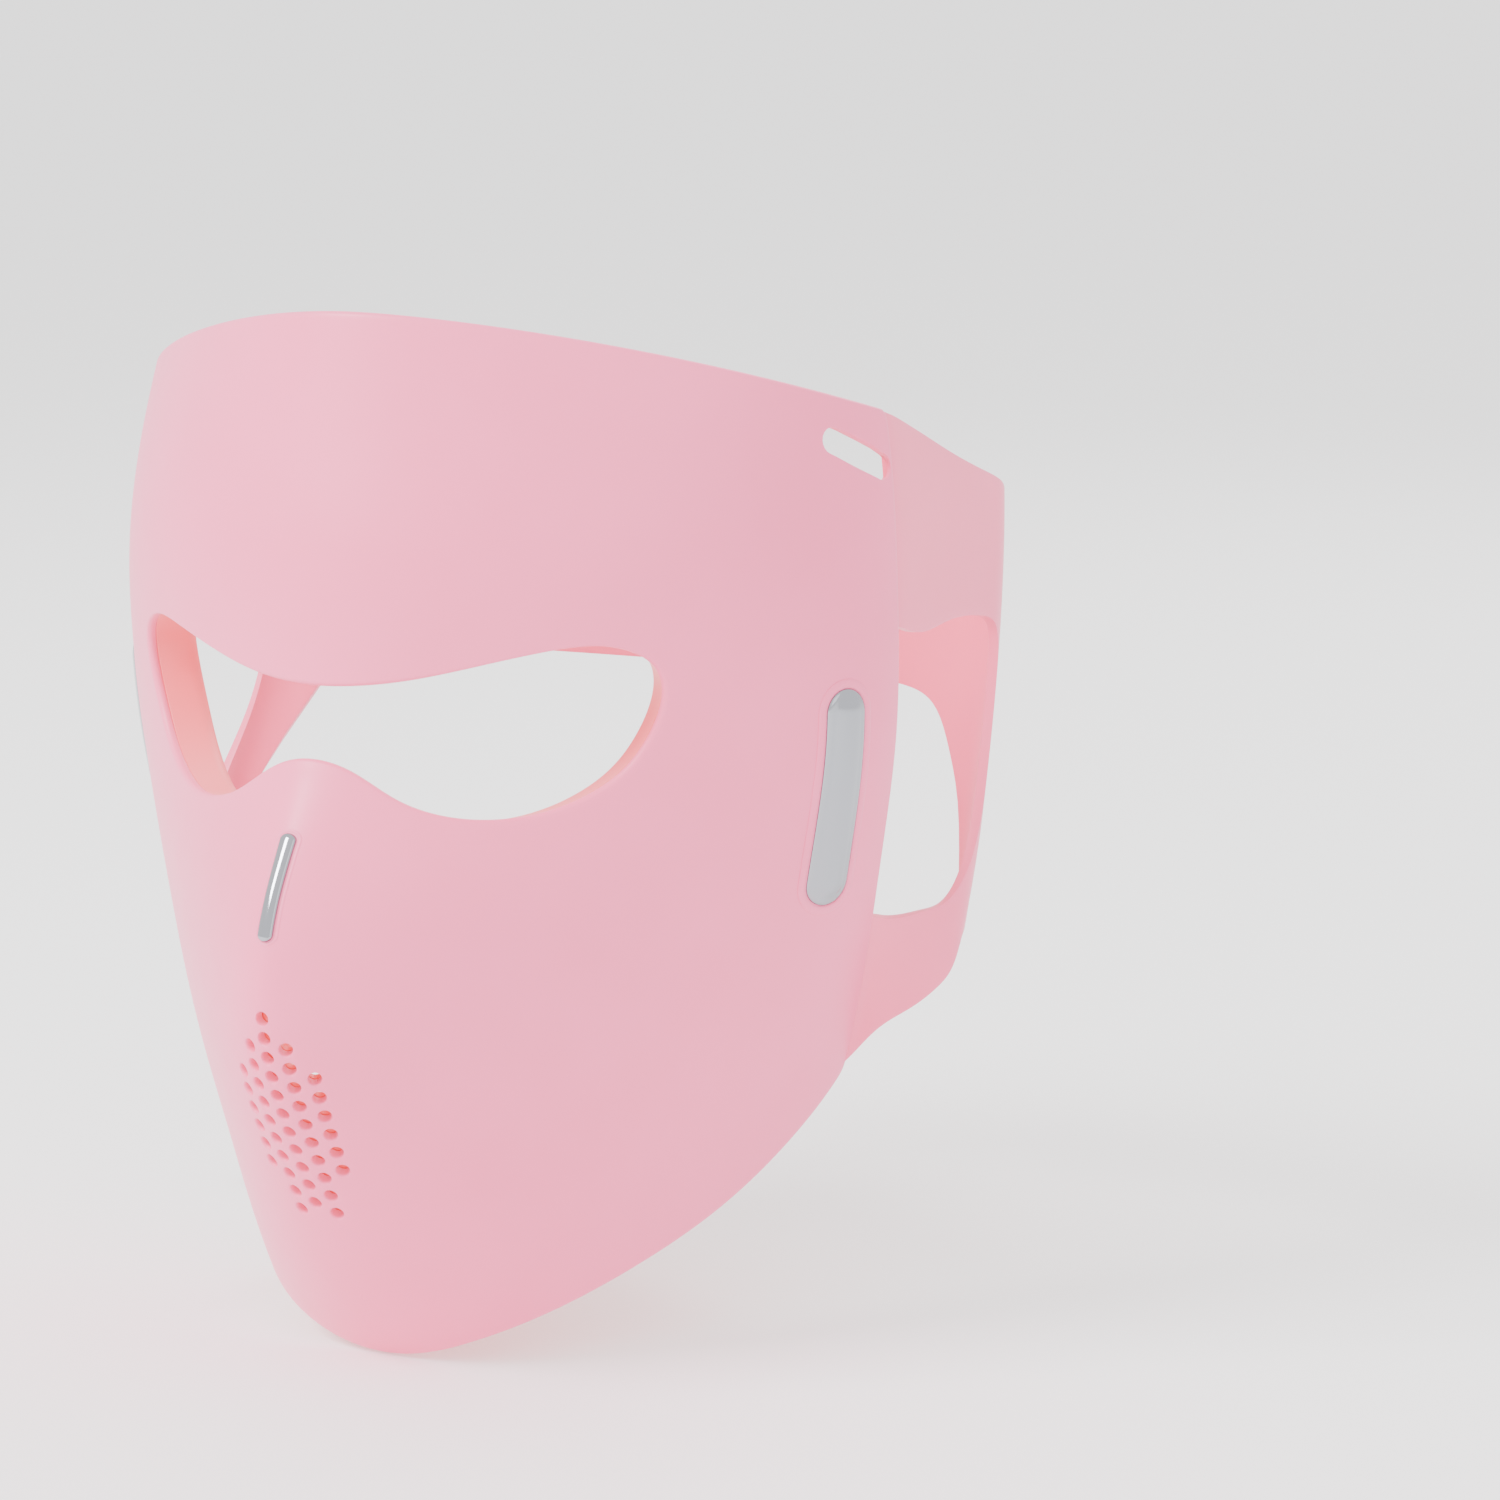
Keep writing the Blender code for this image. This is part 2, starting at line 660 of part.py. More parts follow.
def inside_polygon(polygon_points, point):
    x, z = point
    a = polygon_points
    b = np.roll(polygon_points, -1, axis=0)
    crosses = (a[:, 1] > z) != (b[:, 1] > z)
    rise = np.where(b[:, 1] == a[:, 1], 1e-9, b[:, 1] - a[:, 1])
    where = a[:, 0] + (z - a[:, 1]) * (b[:, 0] - a[:, 0]) / rise
    return (crosses & (where > x)).sum() % 2 == 1


# Light positions as (t, z): the cheek's slanted lattice, the column beside the eye and the
# forehead's rows, kept where a whole window fits on the panel.
def light_places():
    start = np.array([0.483 * FACE_HALF_WIDTH, 0.4745 * FACE_HEIGHT])
    wanted = []
    for out in range(-4, 3):
        first = 3 if out == -4 else 0
        wanted += [start + np.array(LATTICE_OUT) * out + np.array(LATTICE_DOWN) * down
                   for down in range(first, 5)]
    shares = [(0.115, 0.468), (0.162, 0.416), (0.167, 0.122)]
    shares += [(0.815, 0.578), (0.83, 0.655), (0.822, 0.734), (0.755, 0.8)]
    shares += [(0.185, 0.765), (0.33, 0.806), (0.5, 0.828), (0.14, 0.865), (0.29, 0.9)]
    shares += [(0.62, 0.868)]
    wanted += [np.array([x * FACE_HALF_WIDTH, z * FACE_HEIGHT]) for x, z in shares]
    inner, outer = panel_grid()
    ring = np.concatenate([inner, outer[::-1]])
    border = face_point(*np.concatenate([ring, ring[:1]]).T)
    flat = np.stack([ring[:, 0], ring[:, 1]], 1)
    places = []
    for x, z in wanted:
        t = float(t_of(x, z))
        fits = distance_to(border, face_point(t, z)) > WINDOW_RADIUS + WINDOW_MARGIN
        if fits and abs(t) < 1 and inside_polygon(flat, (t, z)):
            places.append((t, float(z)))
    return places


post_places = [(0.361, 0.772), (0.095, 0.089)]


def build_panels():
    t, z = panel_stations(26, 4)
    places = light_places()
    posts = [(float(t_of(x * FACE_HALF_WIDTH, h * FACE_HEIGHT)), h * FACE_HEIGHT) for x, h in post_places]
    for side, label in ((1, "left"), (-1, "right")):
        board = slab("led_board_" + label, side * t, z, layer_top, BOARD_WALL, board_red)
        lens = slab("lens_" + label, side * t, z, lens_top, LENS_WALL, lens_red)
        lights = bmesh.new()
        windows = bmesh.new()
        holes = bmesh.new()
        for spot_t, spot_z in places:
            frame = local_frame(side * spot_t, spot_z)
            back = -(layer_top + BOARD_WALL)
            square = polygon(LED_SIDE / math.sqrt(2), 4, math.pi / 4)
            add_prism(lights, square, back - LED_HEIGHT, back + 0.3, frame)
            add_prism(windows, polygon(WINDOW_RADIUS, 6, math.pi / 6), -lens_back - 2, -lens_top + 2, frame)
        for number, (post_t, post_z) in enumerate(posts):
            frame = local_frame(side * post_t, post_z)
            outline = polygon(POST_RADIUS + POST_CLEARANCE, 8)
            add_prism(holes, outline, -lens_back - 2, -layer_top + 0.4, frame)
            build_post(f"snap_post_{label}_{number + 1}", frame)
        hole_cutter = add_cutter("post_holes_" + label, holes)
        boolean(board, hole_cutter)
        boolean(board, add_cutter("lights_" + label, lights), "UNION")
        boolean(lens, hole_cutter)
        boolean(lens, add_cutter("windows_" + label, windows))


def build_post(name, frame):
    shape = bmesh.new()
    shank_top = -(layer_top + TOUCH_GAP)
    head = -(lens_back + POST_HEAD_GAP)
    levels = (
        (POST_RADIUS, shank_top),
        (POST_RADIUS, head),
        (POST_HEAD_RADIUS, head),
        (POST_HEAD_RADIUS, head - 0.5 * POST_HEAD_HEIGHT),
        (0.6 * POST_HEAD_RADIUS, head - POST_HEAD_HEIGHT),
    )
    rings = []
    for radius, level in levels:
        rings.append([shape.verts.new(frame @ (Vector((x, y, level)) * MM)) for x, y in polygon(radius, 10)])
    for low, high in zip(rings[:-1], rings[1:]):
        for i in range(10):
            j = (i + 1) % 10
            shape.faces.new((low[i], low[j], high[j], high[i]))
    shape.faces.new(rings[0])
    shape.faces.new(rings[-1])
    finish_bmesh(name, shape, frame_coral)


# The strap's corner behind the ear: height, half width and depth of the fold, as shares.
FOLD = (
    (0.3, 1.12, 0.155),
    (0.357, 1.115, 0.175),
    (0.46, 1.1, 0.285),
    (0.536, 1.07, 0.385),
    (0.668, 1.04, 0.49),
    (0.8, 1.01, 0.56),
    (0.91, 0.98, 0.59),
)
fold = np.array(FOLD)
fold_spline = natural_spline(fold[:, 0] * FACE_HEIGHT, fold[:, 1:] * [FACE_HALF_WIDTH, FACE_DEPTH])
hinge_x = 1.012 * FACE_HALF_WIDTH
hinge_y = 0.0


# One level line of the strap, from the shell's edge over the fold to the middle of the back.
def strap_line(z):
    start = face_point(1.0, z)[:2]
    corner = fold_spline(np.clip(z, fold[0, 0] * FACE_HEIGHT, fold[-1, 0] * FACE_HEIGHT))
    back = np.array([0.0, BAND_DEPTH])
    aim = np.array([0.45 * corner[0], BAND_DEPTH])
    toward_face = (start - corner) / np.linalg.norm(start - corner)
    toward_back = (aim - corner) / np.linalg.norm(aim - corner)
    first = corner + toward_face * BEND_REACH
    second = corner + toward_back * BEND_REACH
    u = np.linspace(0, 1, 25)[:, None]
    side = start + (first - start) * u
    bend = first * (1 - u) ** 2 + 2 * corner * u * (1 - u) + second * u**2
    rear = second * (1 - u) ** 2 + 2 * aim * u * (1 - u) + back * u**2
    line = np.concatenate([side, bend[1:], rear[1:]])
    lengths = chord_lengths(line)
    return line, lengths, lengths[36]


# s is 0 at the shell's edge, 1 at the fold, 2 at the middle of the back and more past it.
def strap_point(s, z, lift, inset):
    line, lengths, fold_length = strap_line(z)
    own = min(s, 4 - s)
    if own <= 1:
        where = own * fold_length
    else:
        where = fold_length + (own - 1) * (lengths[-1] - fold_length)
    x = float(np.interp(where, lengths, line[:, 0]))
    y = float(np.interp(where, lengths, line[:, 1]))
    ahead = min(where + 0.5, lengths[-1])
    behind = max(ahead - 1.0, 0.0)
    ends = [[np.interp(where, lengths, line[:, k]) for k in (0, 1)] for where in (behind, ahead)]
    run = np.array(ends[1]) - np.array(ends[0])
    run /= np.linalg.norm(run)
    out = np.array([run[1], -run[0]])
    x -= out[0] * inset
    y -= out[1] * inset
    ramp = min(max((s - 1.12) / 0.5, 0.0), 1.0)
    y += lift * ramp * ramp * (3 - 2 * ramp)
    if s > 2:
        x = -x
    return (x, y, z)


def strap_s(x, z=BAND_MIDDLE):
    line, lengths, fold_length = strap_line(z)
    own = float(np.interp(abs(x), line[::-1, 0][:49], lengths[::-1][:49]))
    s = 1 + (own - fold_length) / (lengths[-1] - fold_length)
    return s if x >= 0 else 4 - s


def strap_outline(end_x, round_end):
    low = BAND_MIDDLE - BAND_HEIGHT / 2
    high = BAND_MIDDLE + BAND_HEIGHT / 2
    z = FACE_HEIGHT
    root_top = float(upper_edge(np.array(1.0))) - 0.6
    top = [(0.0, root_top), (0.25, 0.876 * z), (0.5, 0.851 * z), (0.75, 0.83 * z), (0.92, 0.813 * z)]
    top += [(1.0, 0.8 * z), (1.15, high + 0.03 * z), (1.4, high + 0.0115 * z), (1.7, high + 0.002 * z)]
    bottom = [(1.7, low), (1.3, low), (1.2, low - 0.013 * z), (1.14, low - 0.055 * z)]
    bottom += [(1.1, 0.502 * z), (1.07, 0.447 * z), (1.02, 0.4 * z), (0.93, 0.366 * z), (0.8, 0.347 * z)]
    bottom += [(0.5, 0.321 * z), (0.2, 0.296 * z), (0.0, 0.264 * z)]
    ear = [(0.0, 0.417 * z), (0.12, 0.414 * z), (0.5, 0.419 * z), (0.75, 0.434 * z), (0.88, 0.468 * z)]
    ear += [(0.94, 0.519 * z), (0.955, 0.579 * z), (0.93, 0.638 * z), (0.86, 0.677 * z)]
    ear += [(0.7, 0.694 * z), (0.4, 0.696 * z), (0.15, 0.692 * z), (0.0, 0.702 * z)]
    if round_end:
        radius = BAND_HEIGHT / 2
        middle = end_x + radius
        turns = np.linspace(0.5 * math.pi, 1.5 * math.pi, 9)
        end = [(strap_s(middle + radius * math.cos(a)), BAND_MIDDLE + radius * math.sin(a)) for a in turns]
    else:
        end = [(strap_s(end_x), high), (strap_s(end_x), low)]
    return top + end + bottom + ear


def pill_outline(first_x, last_x, height):
    radius = height / 2
    points = []
    for middle, start in ((last_x + radius, 0.5), (first_x - radius, 1.5)):
        turns = np.linspace(start * math.pi, (start + 1) * math.pi, 7)
        for a in turns:
            points.append((strap_s(middle + radius * math.cos(a)), BAND_MIDDLE + radius * math.sin(a)))
    return points


# A flat outline in (s, z), cut into strips and then wrapped onto the strap's surface.
def wrapped_sheet(name, outline, side, lift, inset, wall, root_gap, look, pivot):
    spread = 100.0
    shape = bmesh.new()
    shape.faces.new([shape.verts.new((s * spread, z, 0.0)) for s, z in outline])
    cuts = [0.2, 0.45, 0.7, 0.82, 0.9, 0.96, 1.02, 1.08, 1.14, 1.22, 1.35, 1.5, 1.65, 1.8, 1.9, 2.0]
    cuts += [2.1, 2.2, 2.35, 2.5, 2.65]
    for s in cuts:
        everything = shape.verts[:] + shape.edges[:] + shape.faces[:]
        bmesh.ops.bisect_plane(shape, geom=everything, plane_co=(s * spread, 0, 0), plane_no=(1, 0, 0))
    for share in (0.38, 0.46, 0.54, 0.64, 0.76, 0.84):
        everything = shape.verts[:] + shape.edges[:] + shape.faces[:]
        level = (0, share * FACE_HEIGHT, 0)
        bmesh.ops.bisect_plane(shape, geom=everything, plane_co=level, plane_no=(0, 1, 0))
    bmesh.ops.triangulate(shape, faces=shape.faces)
    for vertex in shape.verts:
        s = vertex.co.x / spread
        z = vertex.co.y
        x, y, z = strap_point(s, z, lift, inset)
        y += root_gap * max(1 - s / 0.2, 0.0)
        vertex.co = (side * x * MM, y * MM, z * MM)
    bmesh.ops.recalc_face_normals(shape, faces=shape.faces)
    mesh = bpy.data.meshes.new(name)
    shape.to_mesh(mesh)
    shape.free()
    farthest = max(mesh.polygons, key=lambda face: face.center.y)
    if farthest.normal.y < 0:
        mesh.flip_normals()
    mesh.shade_smooth()
    mesh.set_sharp_from_angle(angle=math.radians(40))
    made = add_object(name, mesh, look, pivot)
    solidify(made, wall)
    return made


pad_gap = TOUCH_GAP
tab_lift = STRAP_WALL + 2 * PAD_WALL + 3 * pad_gap + TAB_SLACK
pad_first = TAB_REACH - 6.0
pad_last = UNDERLAP + 6.0


def build_straps():
    pivots = {}
    for side, label in ((1, "left"), (-1, "right")):
        pivot = bpy.data.objects.new(f"strap_{label}_hinge", None)
        pivot.location = (side * hinge_x * MM, hinge_y * MM, BAND_MIDDLE * MM)
        parts.objects.link(pivot)
        pivots[label] = pivot
    bpy.context.view_layer.update()
    left, right = pivots["left"], pivots["right"]
    wrapped_sheet("strap_left", strap_outline(UNDERLAP, False), 1, 0.0, 0.0,
                  STRAP_WALL, ROOT_GAP, strap_pink, left)
    wrapped_sheet("strap_right", strap_outline(-TAB_REACH, True), -1, tab_lift, 0.0,
                  STRAP_WALL, ROOT_GAP, strap_pink, right)
    loop = pill_outline(pad_first, pad_last, PAD_HEIGHT)
    wrapped_sheet("loop_pad", loop, 1, 0.0, -PAD_WALL - pad_gap, PAD_WALL, 0.0, pad_rose, left)
    hook = pill_outline(-pad_last, -pad_first, PAD_HEIGHT)
    wrapped_sheet("hook_pad", hook, -1, tab_lift, STRAP_WALL + pad_gap, PAD_WALL, 0.0, pad_rose, right)
    patch = pill_outline(PATCH_REACH, TAB_REACH * -0.96, PATCH_HEIGHT)
    wrapped_sheet("leather_patch", patch, -1, tab_lift, -PATCH_WALL - LAYER_GAP, PATCH_WALL, 0.0,
                  leather_rose, right)


cord_radius = CORD_DIAMETER / 2
cord_floor = cord_radius + CORD_LIFT
turn_pitch = CORD_DIAMETER + TURN_GAP
coil_bottom = CORD_LIFT + TIE_WALL + 2 * TOUCH_GAP
coil_top = coil_bottom + COIL_LAYERS * turn_pitch
coil_outer_radius = COIL_INNER_RADIUS + COIL_COLUMNS * turn_pitch
gland_aim = np.array(GLAND_AIM) / np.linalg.norm(GLAND_AIM)
gland_tip = np.array(GLAND_TOP) + gland_aim * GLAND_LENGTH

LEAD_ROUTE = (
    (-50.4, -13.5, 11.7),
    (-50.6, -11.5, 9.1),
    (-51.0, -8.8, 6.6),
    (-51.7, -5.7, 4.6),
    (-53.0, -0.6, 2.75),
    (-54.1, 4.4, 2.05),
    (-54.8, 9.4, 1.95),
    (-55.1, 12.4, 1.95),
)
TAIL_ROUTE = (
    (-55.1, 40.3, 4.1),
    (-55.3, 45.0, 2.7),
    (-56.6, 50.2, 2.1),
    (-59.6, 55.2, 2.2),
    (-63.4, 58.6, 2.9),
    (-67.4, 59.9, 3.8),
    (-71.3, 60.0, 4.15),
)


def add_tube(name, route):
    points = smooth_through(route, max(4, round(chord_lengths(np.array(route))[-1] / (2.2 * CORD_DIAMETER))))
    line = bpy.data.curves.new(name, "CURVE")
    line.dimensions = "3D"
    line.bevel_depth = cord_radius * MM
    line.bevel_resolution = 2
    line.use_fill_caps = True
    spline = line.splines.new("POLY")
    spline.points.add(len(points) - 1)
    for spot, point in zip(spline.points, points):
        spot.co = (*(point * MM), 1.0)
    add_object(name, line, cord_white)


def turned(name, profile, steps, look, frame):
    mesh = bpy.data.meshes.new(name)
    points = [(x * MM, 0.0, z * MM) for x, z in profile]
    edges = [(i, (i + 1) % len(points)) for i in range(len(points))]
    mesh.from_pydata(points, edges, [])
    made = add_object(name, mesh, look)
    made.matrix_world = frame
    turn = made.modifiers.new("turn", "SCREW")
    turn.steps = steps
    turn.render_steps = steps
    turn.use_merge_vertices = True
    turn.merge_threshold = 0.00001
    return made


def build_cord():
    add_tube("cable_lead", LEAD_ROUTE)
    add_tube("cable_tail", TAIL_ROUTE)
    place = Matrix.Translation((COIL_CENTRE[0] * MM, COIL_CENTRE[1] * MM, 0.0))
    ring = [(COIL_INNER_RADIUS, coil_top), (coil_outer_radius, coil_top)]
    ring += [(coil_outer_radius, coil_bottom), (COIL_INNER_RADIUS, coil_bottom)]
    turned("cable_coil", ring, 28, cord_white, place)

    tie = bmesh.new()
    gap = TOUCH_GAP
    inner = [(COIL_INNER_RADIUS - gap - 0.6, coil_bottom - gap), (coil_outer_radius + gap, coil_bottom - gap)]
    inner += [(coil_outer_radius + gap, coil_top + gap), (COIL_INNER_RADIUS - gap - 0.6, coil_top + gap)]
    (x0, z0), (x1, _), (_, z1), _ = inner
    outer = [(x0 - TIE_WALL, z0 - TIE_WALL), (x1 + TIE_WALL, z0 - TIE_WALL)]
    outer += [(x1 + TIE_WALL, z1 + TIE_WALL), (x0 - TIE_WALL, z1 + TIE_WALL)]
    rings = []
    for y in (-TIE_WIDTH / 2, TIE_WIDTH / 2):
        for outline in (inner, outer):
            rings.append([tie.verts.new((place @ Vector((x * MM, y * MM, z * MM)))) for x, z in outline])
    near_in, near_out, far_in, far_out = rings
    for i in range(4):
        j = (i + 1) % 4
        tie.faces.new((near_in[i], near_in[j], near_out[j], near_out[i]))
        tie.faces.new((far_in[j], far_in[i], far_out[i], far_out[j]))
        tie.faces.new((near_out[i], near_out[j], far_out[j], far_out[i]))
        tie.faces.new((near_in[j], near_in[i], far_in[i], far_in[j]))
    finish_bmesh("coil_tie", tie, tie_grey)

    toward = Vector(gland_aim).to_track_quat("Z", "Y").to_matrix().to_4x4()
    frame = Matrix.Translation(Vector(GLAND_TOP) * MM) @ toward
    waist = 0.5 * (GLAND_RADIUS + GLAND_TIP_RADIUS)
    profile = [(GLAND_RADIUS - 1.0, 0.0), (GLAND_RADIUS, 1.2), (GLAND_RADIUS, 3.4)]
    profile += [(waist, 6.0), (GLAND_TIP_RADIUS + 0.4, GLAND_LENGTH - 1.0)]
    profile.append((GLAND_TIP_RADIUS, GLAND_LENGTH))
    shape = bmesh.new()
    rings = []
    for radius, level in profile:
        rings.append([shape.verts.new(frame @ (Vector((x, y, level)) * MM)) for x, y in polygon(radius, 16)])
    for low, high in zip(rings[:-1], rings[1:]):
        for i in range(16):
            j = (i + 1) % 16
            shape.faces.new((low[i], low[j], high[j], high[i]))
    shape.faces.new(rings[0])
    shape.faces.new(rings[-1])
    finish_bmesh("cable_gland", shape, shell_pink)


def add_box(name, low, high, look, bevel):
    shape = bmesh.new()
    bmesh.ops.create_cube(shape, size=1.0)
    size = np.array(high) - low
    middle = (np.array(high) + low) / 2
    bmesh.ops.scale(shape, vec=Vector(size) * MM, verts=shape.verts)
    bmesh.ops.translate(shape, vec=Vector(middle) * MM, verts=shape.verts)
    made = finish_bmesh(name, shape, look)
    if bevel:
        soften = made.modifiers.new("soften", "BEVEL")
        soften.width = bevel * MM
        soften.segments = 2
    return made


def build_plug():
    x, y = PLUG_START
    bottom = CORD_LIFT
    middle = bottom + GRIP_HEIGHT / 2
    grip_end = x - GRIP_LENGTH
    half = GRIP_WIDTH / 2
    add_box("plug_grip", (grip_end, y - half, bottom), (x, y + half, bottom + GRIP_HEIGHT), cord_white, 1.6)
    metal_start = grip_end - TOUCH_GAP
    metal_end = metal_start - PLUG_LENGTH
    half_y = PLUG_WIDTH / 2
    half_z = PLUG_HEIGHT / 2
    metal = add_box("plug_shell", (metal_end, y - half_y, middle - half_z),
                    (metal_start, y + half_y, middle + half_z), plug_metal, 0)
    hollow = bmesh.new()
    bmesh.ops.create_cube(hollow, size=1.0)
    depth = PLUG_LENGTH - 1.0
    room = (depth + 2.0, PLUG_WIDTH - 2 * PLUG_SHEET, PLUG_HEIGHT - 2 * PLUG_SHEET)
    bmesh.ops.scale(hollow, vec=Vector(room) * MM, verts=hollow.verts)
    spot = ((metal_end + depth / 2 - 1.0) * MM, y * MM, middle * MM)
    bmesh.ops.translate(hollow, vec=Vector(spot), verts=hollow.verts)
    boolean(metal, add_cutter("plug_hollow", hollow))
    tongue_top = middle + half_z - PLUG_SHEET - TOUCH_GAP
    add_box("plug_tongue", (metal_end + 0.8, y - half_y + PLUG_SHEET + TOUCH_GAP, tongue_top - 1.4),
            (metal_end + depth - TOUCH_GAP, y + half_y - PLUG_SHEET - TOUCH_GAP, tongue_top), cord_white, 0)


shell = build_shell()
build_trims()
build_frame()
island = build_vent_island()
vents = vent_cutter()
boolean(shell, vents)
boolean(island, vents)
build_panels()
build_straps()
build_cord()
build_plug()
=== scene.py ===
import math

import bmesh
import bpy
import numpy as np
from mathutils import Matrix, Vector


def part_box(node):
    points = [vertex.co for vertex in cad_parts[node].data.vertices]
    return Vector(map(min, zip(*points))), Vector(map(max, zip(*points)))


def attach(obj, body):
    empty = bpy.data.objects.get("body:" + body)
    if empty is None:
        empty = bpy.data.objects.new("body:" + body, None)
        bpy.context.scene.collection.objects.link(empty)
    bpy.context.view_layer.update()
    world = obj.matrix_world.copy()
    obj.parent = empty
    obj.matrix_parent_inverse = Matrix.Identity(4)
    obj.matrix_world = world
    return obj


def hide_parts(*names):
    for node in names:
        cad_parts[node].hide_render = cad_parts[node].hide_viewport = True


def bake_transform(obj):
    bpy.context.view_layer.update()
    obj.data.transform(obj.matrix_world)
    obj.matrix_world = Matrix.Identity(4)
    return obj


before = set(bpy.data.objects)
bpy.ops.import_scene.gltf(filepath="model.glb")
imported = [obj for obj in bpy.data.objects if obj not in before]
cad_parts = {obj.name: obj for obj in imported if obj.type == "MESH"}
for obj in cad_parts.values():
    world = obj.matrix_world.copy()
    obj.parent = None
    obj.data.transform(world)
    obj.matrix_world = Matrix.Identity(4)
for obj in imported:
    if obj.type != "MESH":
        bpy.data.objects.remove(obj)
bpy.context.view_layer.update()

# Lengths in this script are millimetres; a mesh gets them times mm.
mm = 0.001

print("stage: camera")

cameraSettings = {
    "azimuth": 29.95,
    "elevation": 9.78,
    "distance": 1.0084,
    "aim": (0.0, -0.035, 0.118),
    "lens": 107.0,
    "shift": (0.203, 0.047),
}


def makeCamera(settings):
    azimuth = math.radians(settings["azimuth"])
    elevation = math.radians(settings["elevation"])
    level = math.cos(elevation)
    back = Vector((math.sin(azimuth) * level, -math.cos(azimuth) * level, math.sin(elevation)))
    data = bpy.data.cameras.new("camera")
    data.lens = settings["lens"]
    data.sensor_width = 36.0
    data.shift_x, data.shift_y = settings["shift"]
    data.clip_start = 0.05
    made = bpy.data.objects.new("camera", data)
    bpy.context.scene.collection.objects.link(made)
    made.location = Vector(settings["aim"]) + back * settings["distance"]
    made.rotation_euler = (-back).to_track_quat("-Z", "Y").to_euler()
    bpy.context.scene.camera = made


makeCamera(cameraSettings)

print("stage: materials")


def newMaterial(name, colour, roughness, **sockets):
    made = bpy.data.materials.new(name)
    made.use_nodes = True
    nodes = made.node_tree.nodes
    shader = nodes["Principled BSDF"]
    shader.inputs["Base Color"].default_value = (*colour, 1)
    shader.inputs["Roughness"].default_value = roughness
    for socket, value in sockets.items():
        shader.inputs[socket.replace("_", " ")].default_value = value
    return made, nodes, made.node_tree.links, shader


def addNoise(nodes, links, scale, detail=4.0, roughness=0.55):
    place = nodes.new("ShaderNodeTexCoord")
    noise = nodes.new("ShaderNodeTexNoise")
    noise.inputs["Scale"].default_value = scale
    noise.inputs["Detail"].default_value = detail
    noise.inputs["Roughness"].default_value = roughness
    links.new(place.outputs["Object"], noise.inputs["Vector"])
    return noise.outputs["Fac"]


def rampOf(nodes, links, source, stops):
    ramp = nodes.new("ShaderNodeValToRGB")
    links.new(source, ramp.inputs["Fac"])
    spots = ramp.color_ramp.elements
    while len(spots) < len(stops):
        spots.new(0.5)
    for spot, (where, colour) in zip(spots, stops):
        spot.position = where
        spot.color = (*colour, 1)
    return ramp.outputs["Color"]


def shade(colour, share):
    return tuple(min(1.0, c * share) for c in colour)


def addBump(nodes, links, shader, height, distance, strength=1.0, previous=None):
    bump = nodes.new("ShaderNodeBump")
    bump.inputs["Distance"].default_value = distance * mm
    bump.inputs["Strength"].default_value = strength
    links.new(height, bump.inputs["Height"])
    if previous is not None:
        links.new(previous, bump.inputs["Normal"])
    links.new(bump.outputs["Normal"], shader.inputs["Normal"])
    return bump.outputs["Normal"]


# Moulded silicone: a slow drift of colour, a fine satin grain and a little light under the skin; where a glow is given,
# also a painted glow as emission.
def silicone(name, colour, roughness=0.42, glow=None, scatter=0.12):
    made, nodes, links, shader = newMaterial(
        name, colour, roughness, Subsurface_Weight=scatter, Subsurface_Scale=0.004,
        Sheen_Weight=0.15, Sheen_Roughness=0.4,
    )
    shader.inputs["Subsurface Radius"].default_value = (1.0, 0.45, 0.4)
    drift = addNoise(nodes, links, 28.0, 3.0)
    tint = rampOf(nodes, links, drift, [(0.3, shade(colour, 0.965)), (0.7, shade(colour, 1.03))])
    links.new(tint, shader.inputs["Base Color"])
    dull = nodes.new("ShaderNodeMapRange")
    dull.inputs["To Min"].default_value = roughness - 0.05
    dull.inputs["To Max"].default_value = roughness + 0.07
    links.new(addNoise(nodes, links, 160.0, 4.0), dull.inputs["Value"])
    links.new(dull.outputs["Result"], shader.inputs["Roughness"])
    waves = addBump(nodes, links, shader, addNoise(nodes, links, 90.0, 2.0), 0.05, 0.35)
    addBump(nodes, links, shader, addNoise(nodes, links, 2600.0, 2.0), 0.012, 0.5, waves)
    if glow is not None:
        shader.inputs["Emission Color"].default_value = (*glow[0], 1)
        shader.inputs["Emission Strength"].default_value = glow[1]
    return made


# The lit lining: its glow comes from each point's distance to the lights, kept on the mesh as "glow".
def litSilicone(name, colour, glowColour, brightest, least):
    made, nodes, links, shader = newMaterial(
        name, colour, 0.3, Subsurface_Weight=0.2, Subsurface_Scale=0.006, Coat_Weight=0.25, Coat_Roughness=0.25,
    )
    shader.inputs["Subsurface Radius"].default_value = (1.0, 0.3, 0.25)
    near = nodes.new("ShaderNodeAttribute")
    near.attribute_name = "glow"
    drift = rampOf(nodes, links, addNoise(nodes, links, 40.0, 3.0), [(0.3, shade(colour, 0.9)), (0.7, colour)])
    links.new(drift, shader.inputs["Base Color"])
    tone = rampOf(nodes, links, near.outputs["Fac"], glowColour)
    links.new(tone, shader.inputs["Emission Color"])
    power = nodes.new("ShaderNodeMapRange")
    power.inputs["To Min"].default_value = least
    power.inputs["To Max"].default_value = brightest
    links.new(near.outputs["Fac"], power.inputs["Value"])
    links.new(power.outputs["Result"], shader.inputs["Emission Strength"])
    addBump(nodes, links, shader, addNoise(nodes, links, 700.0, 3.0), 0.03, 0.4)
    return made


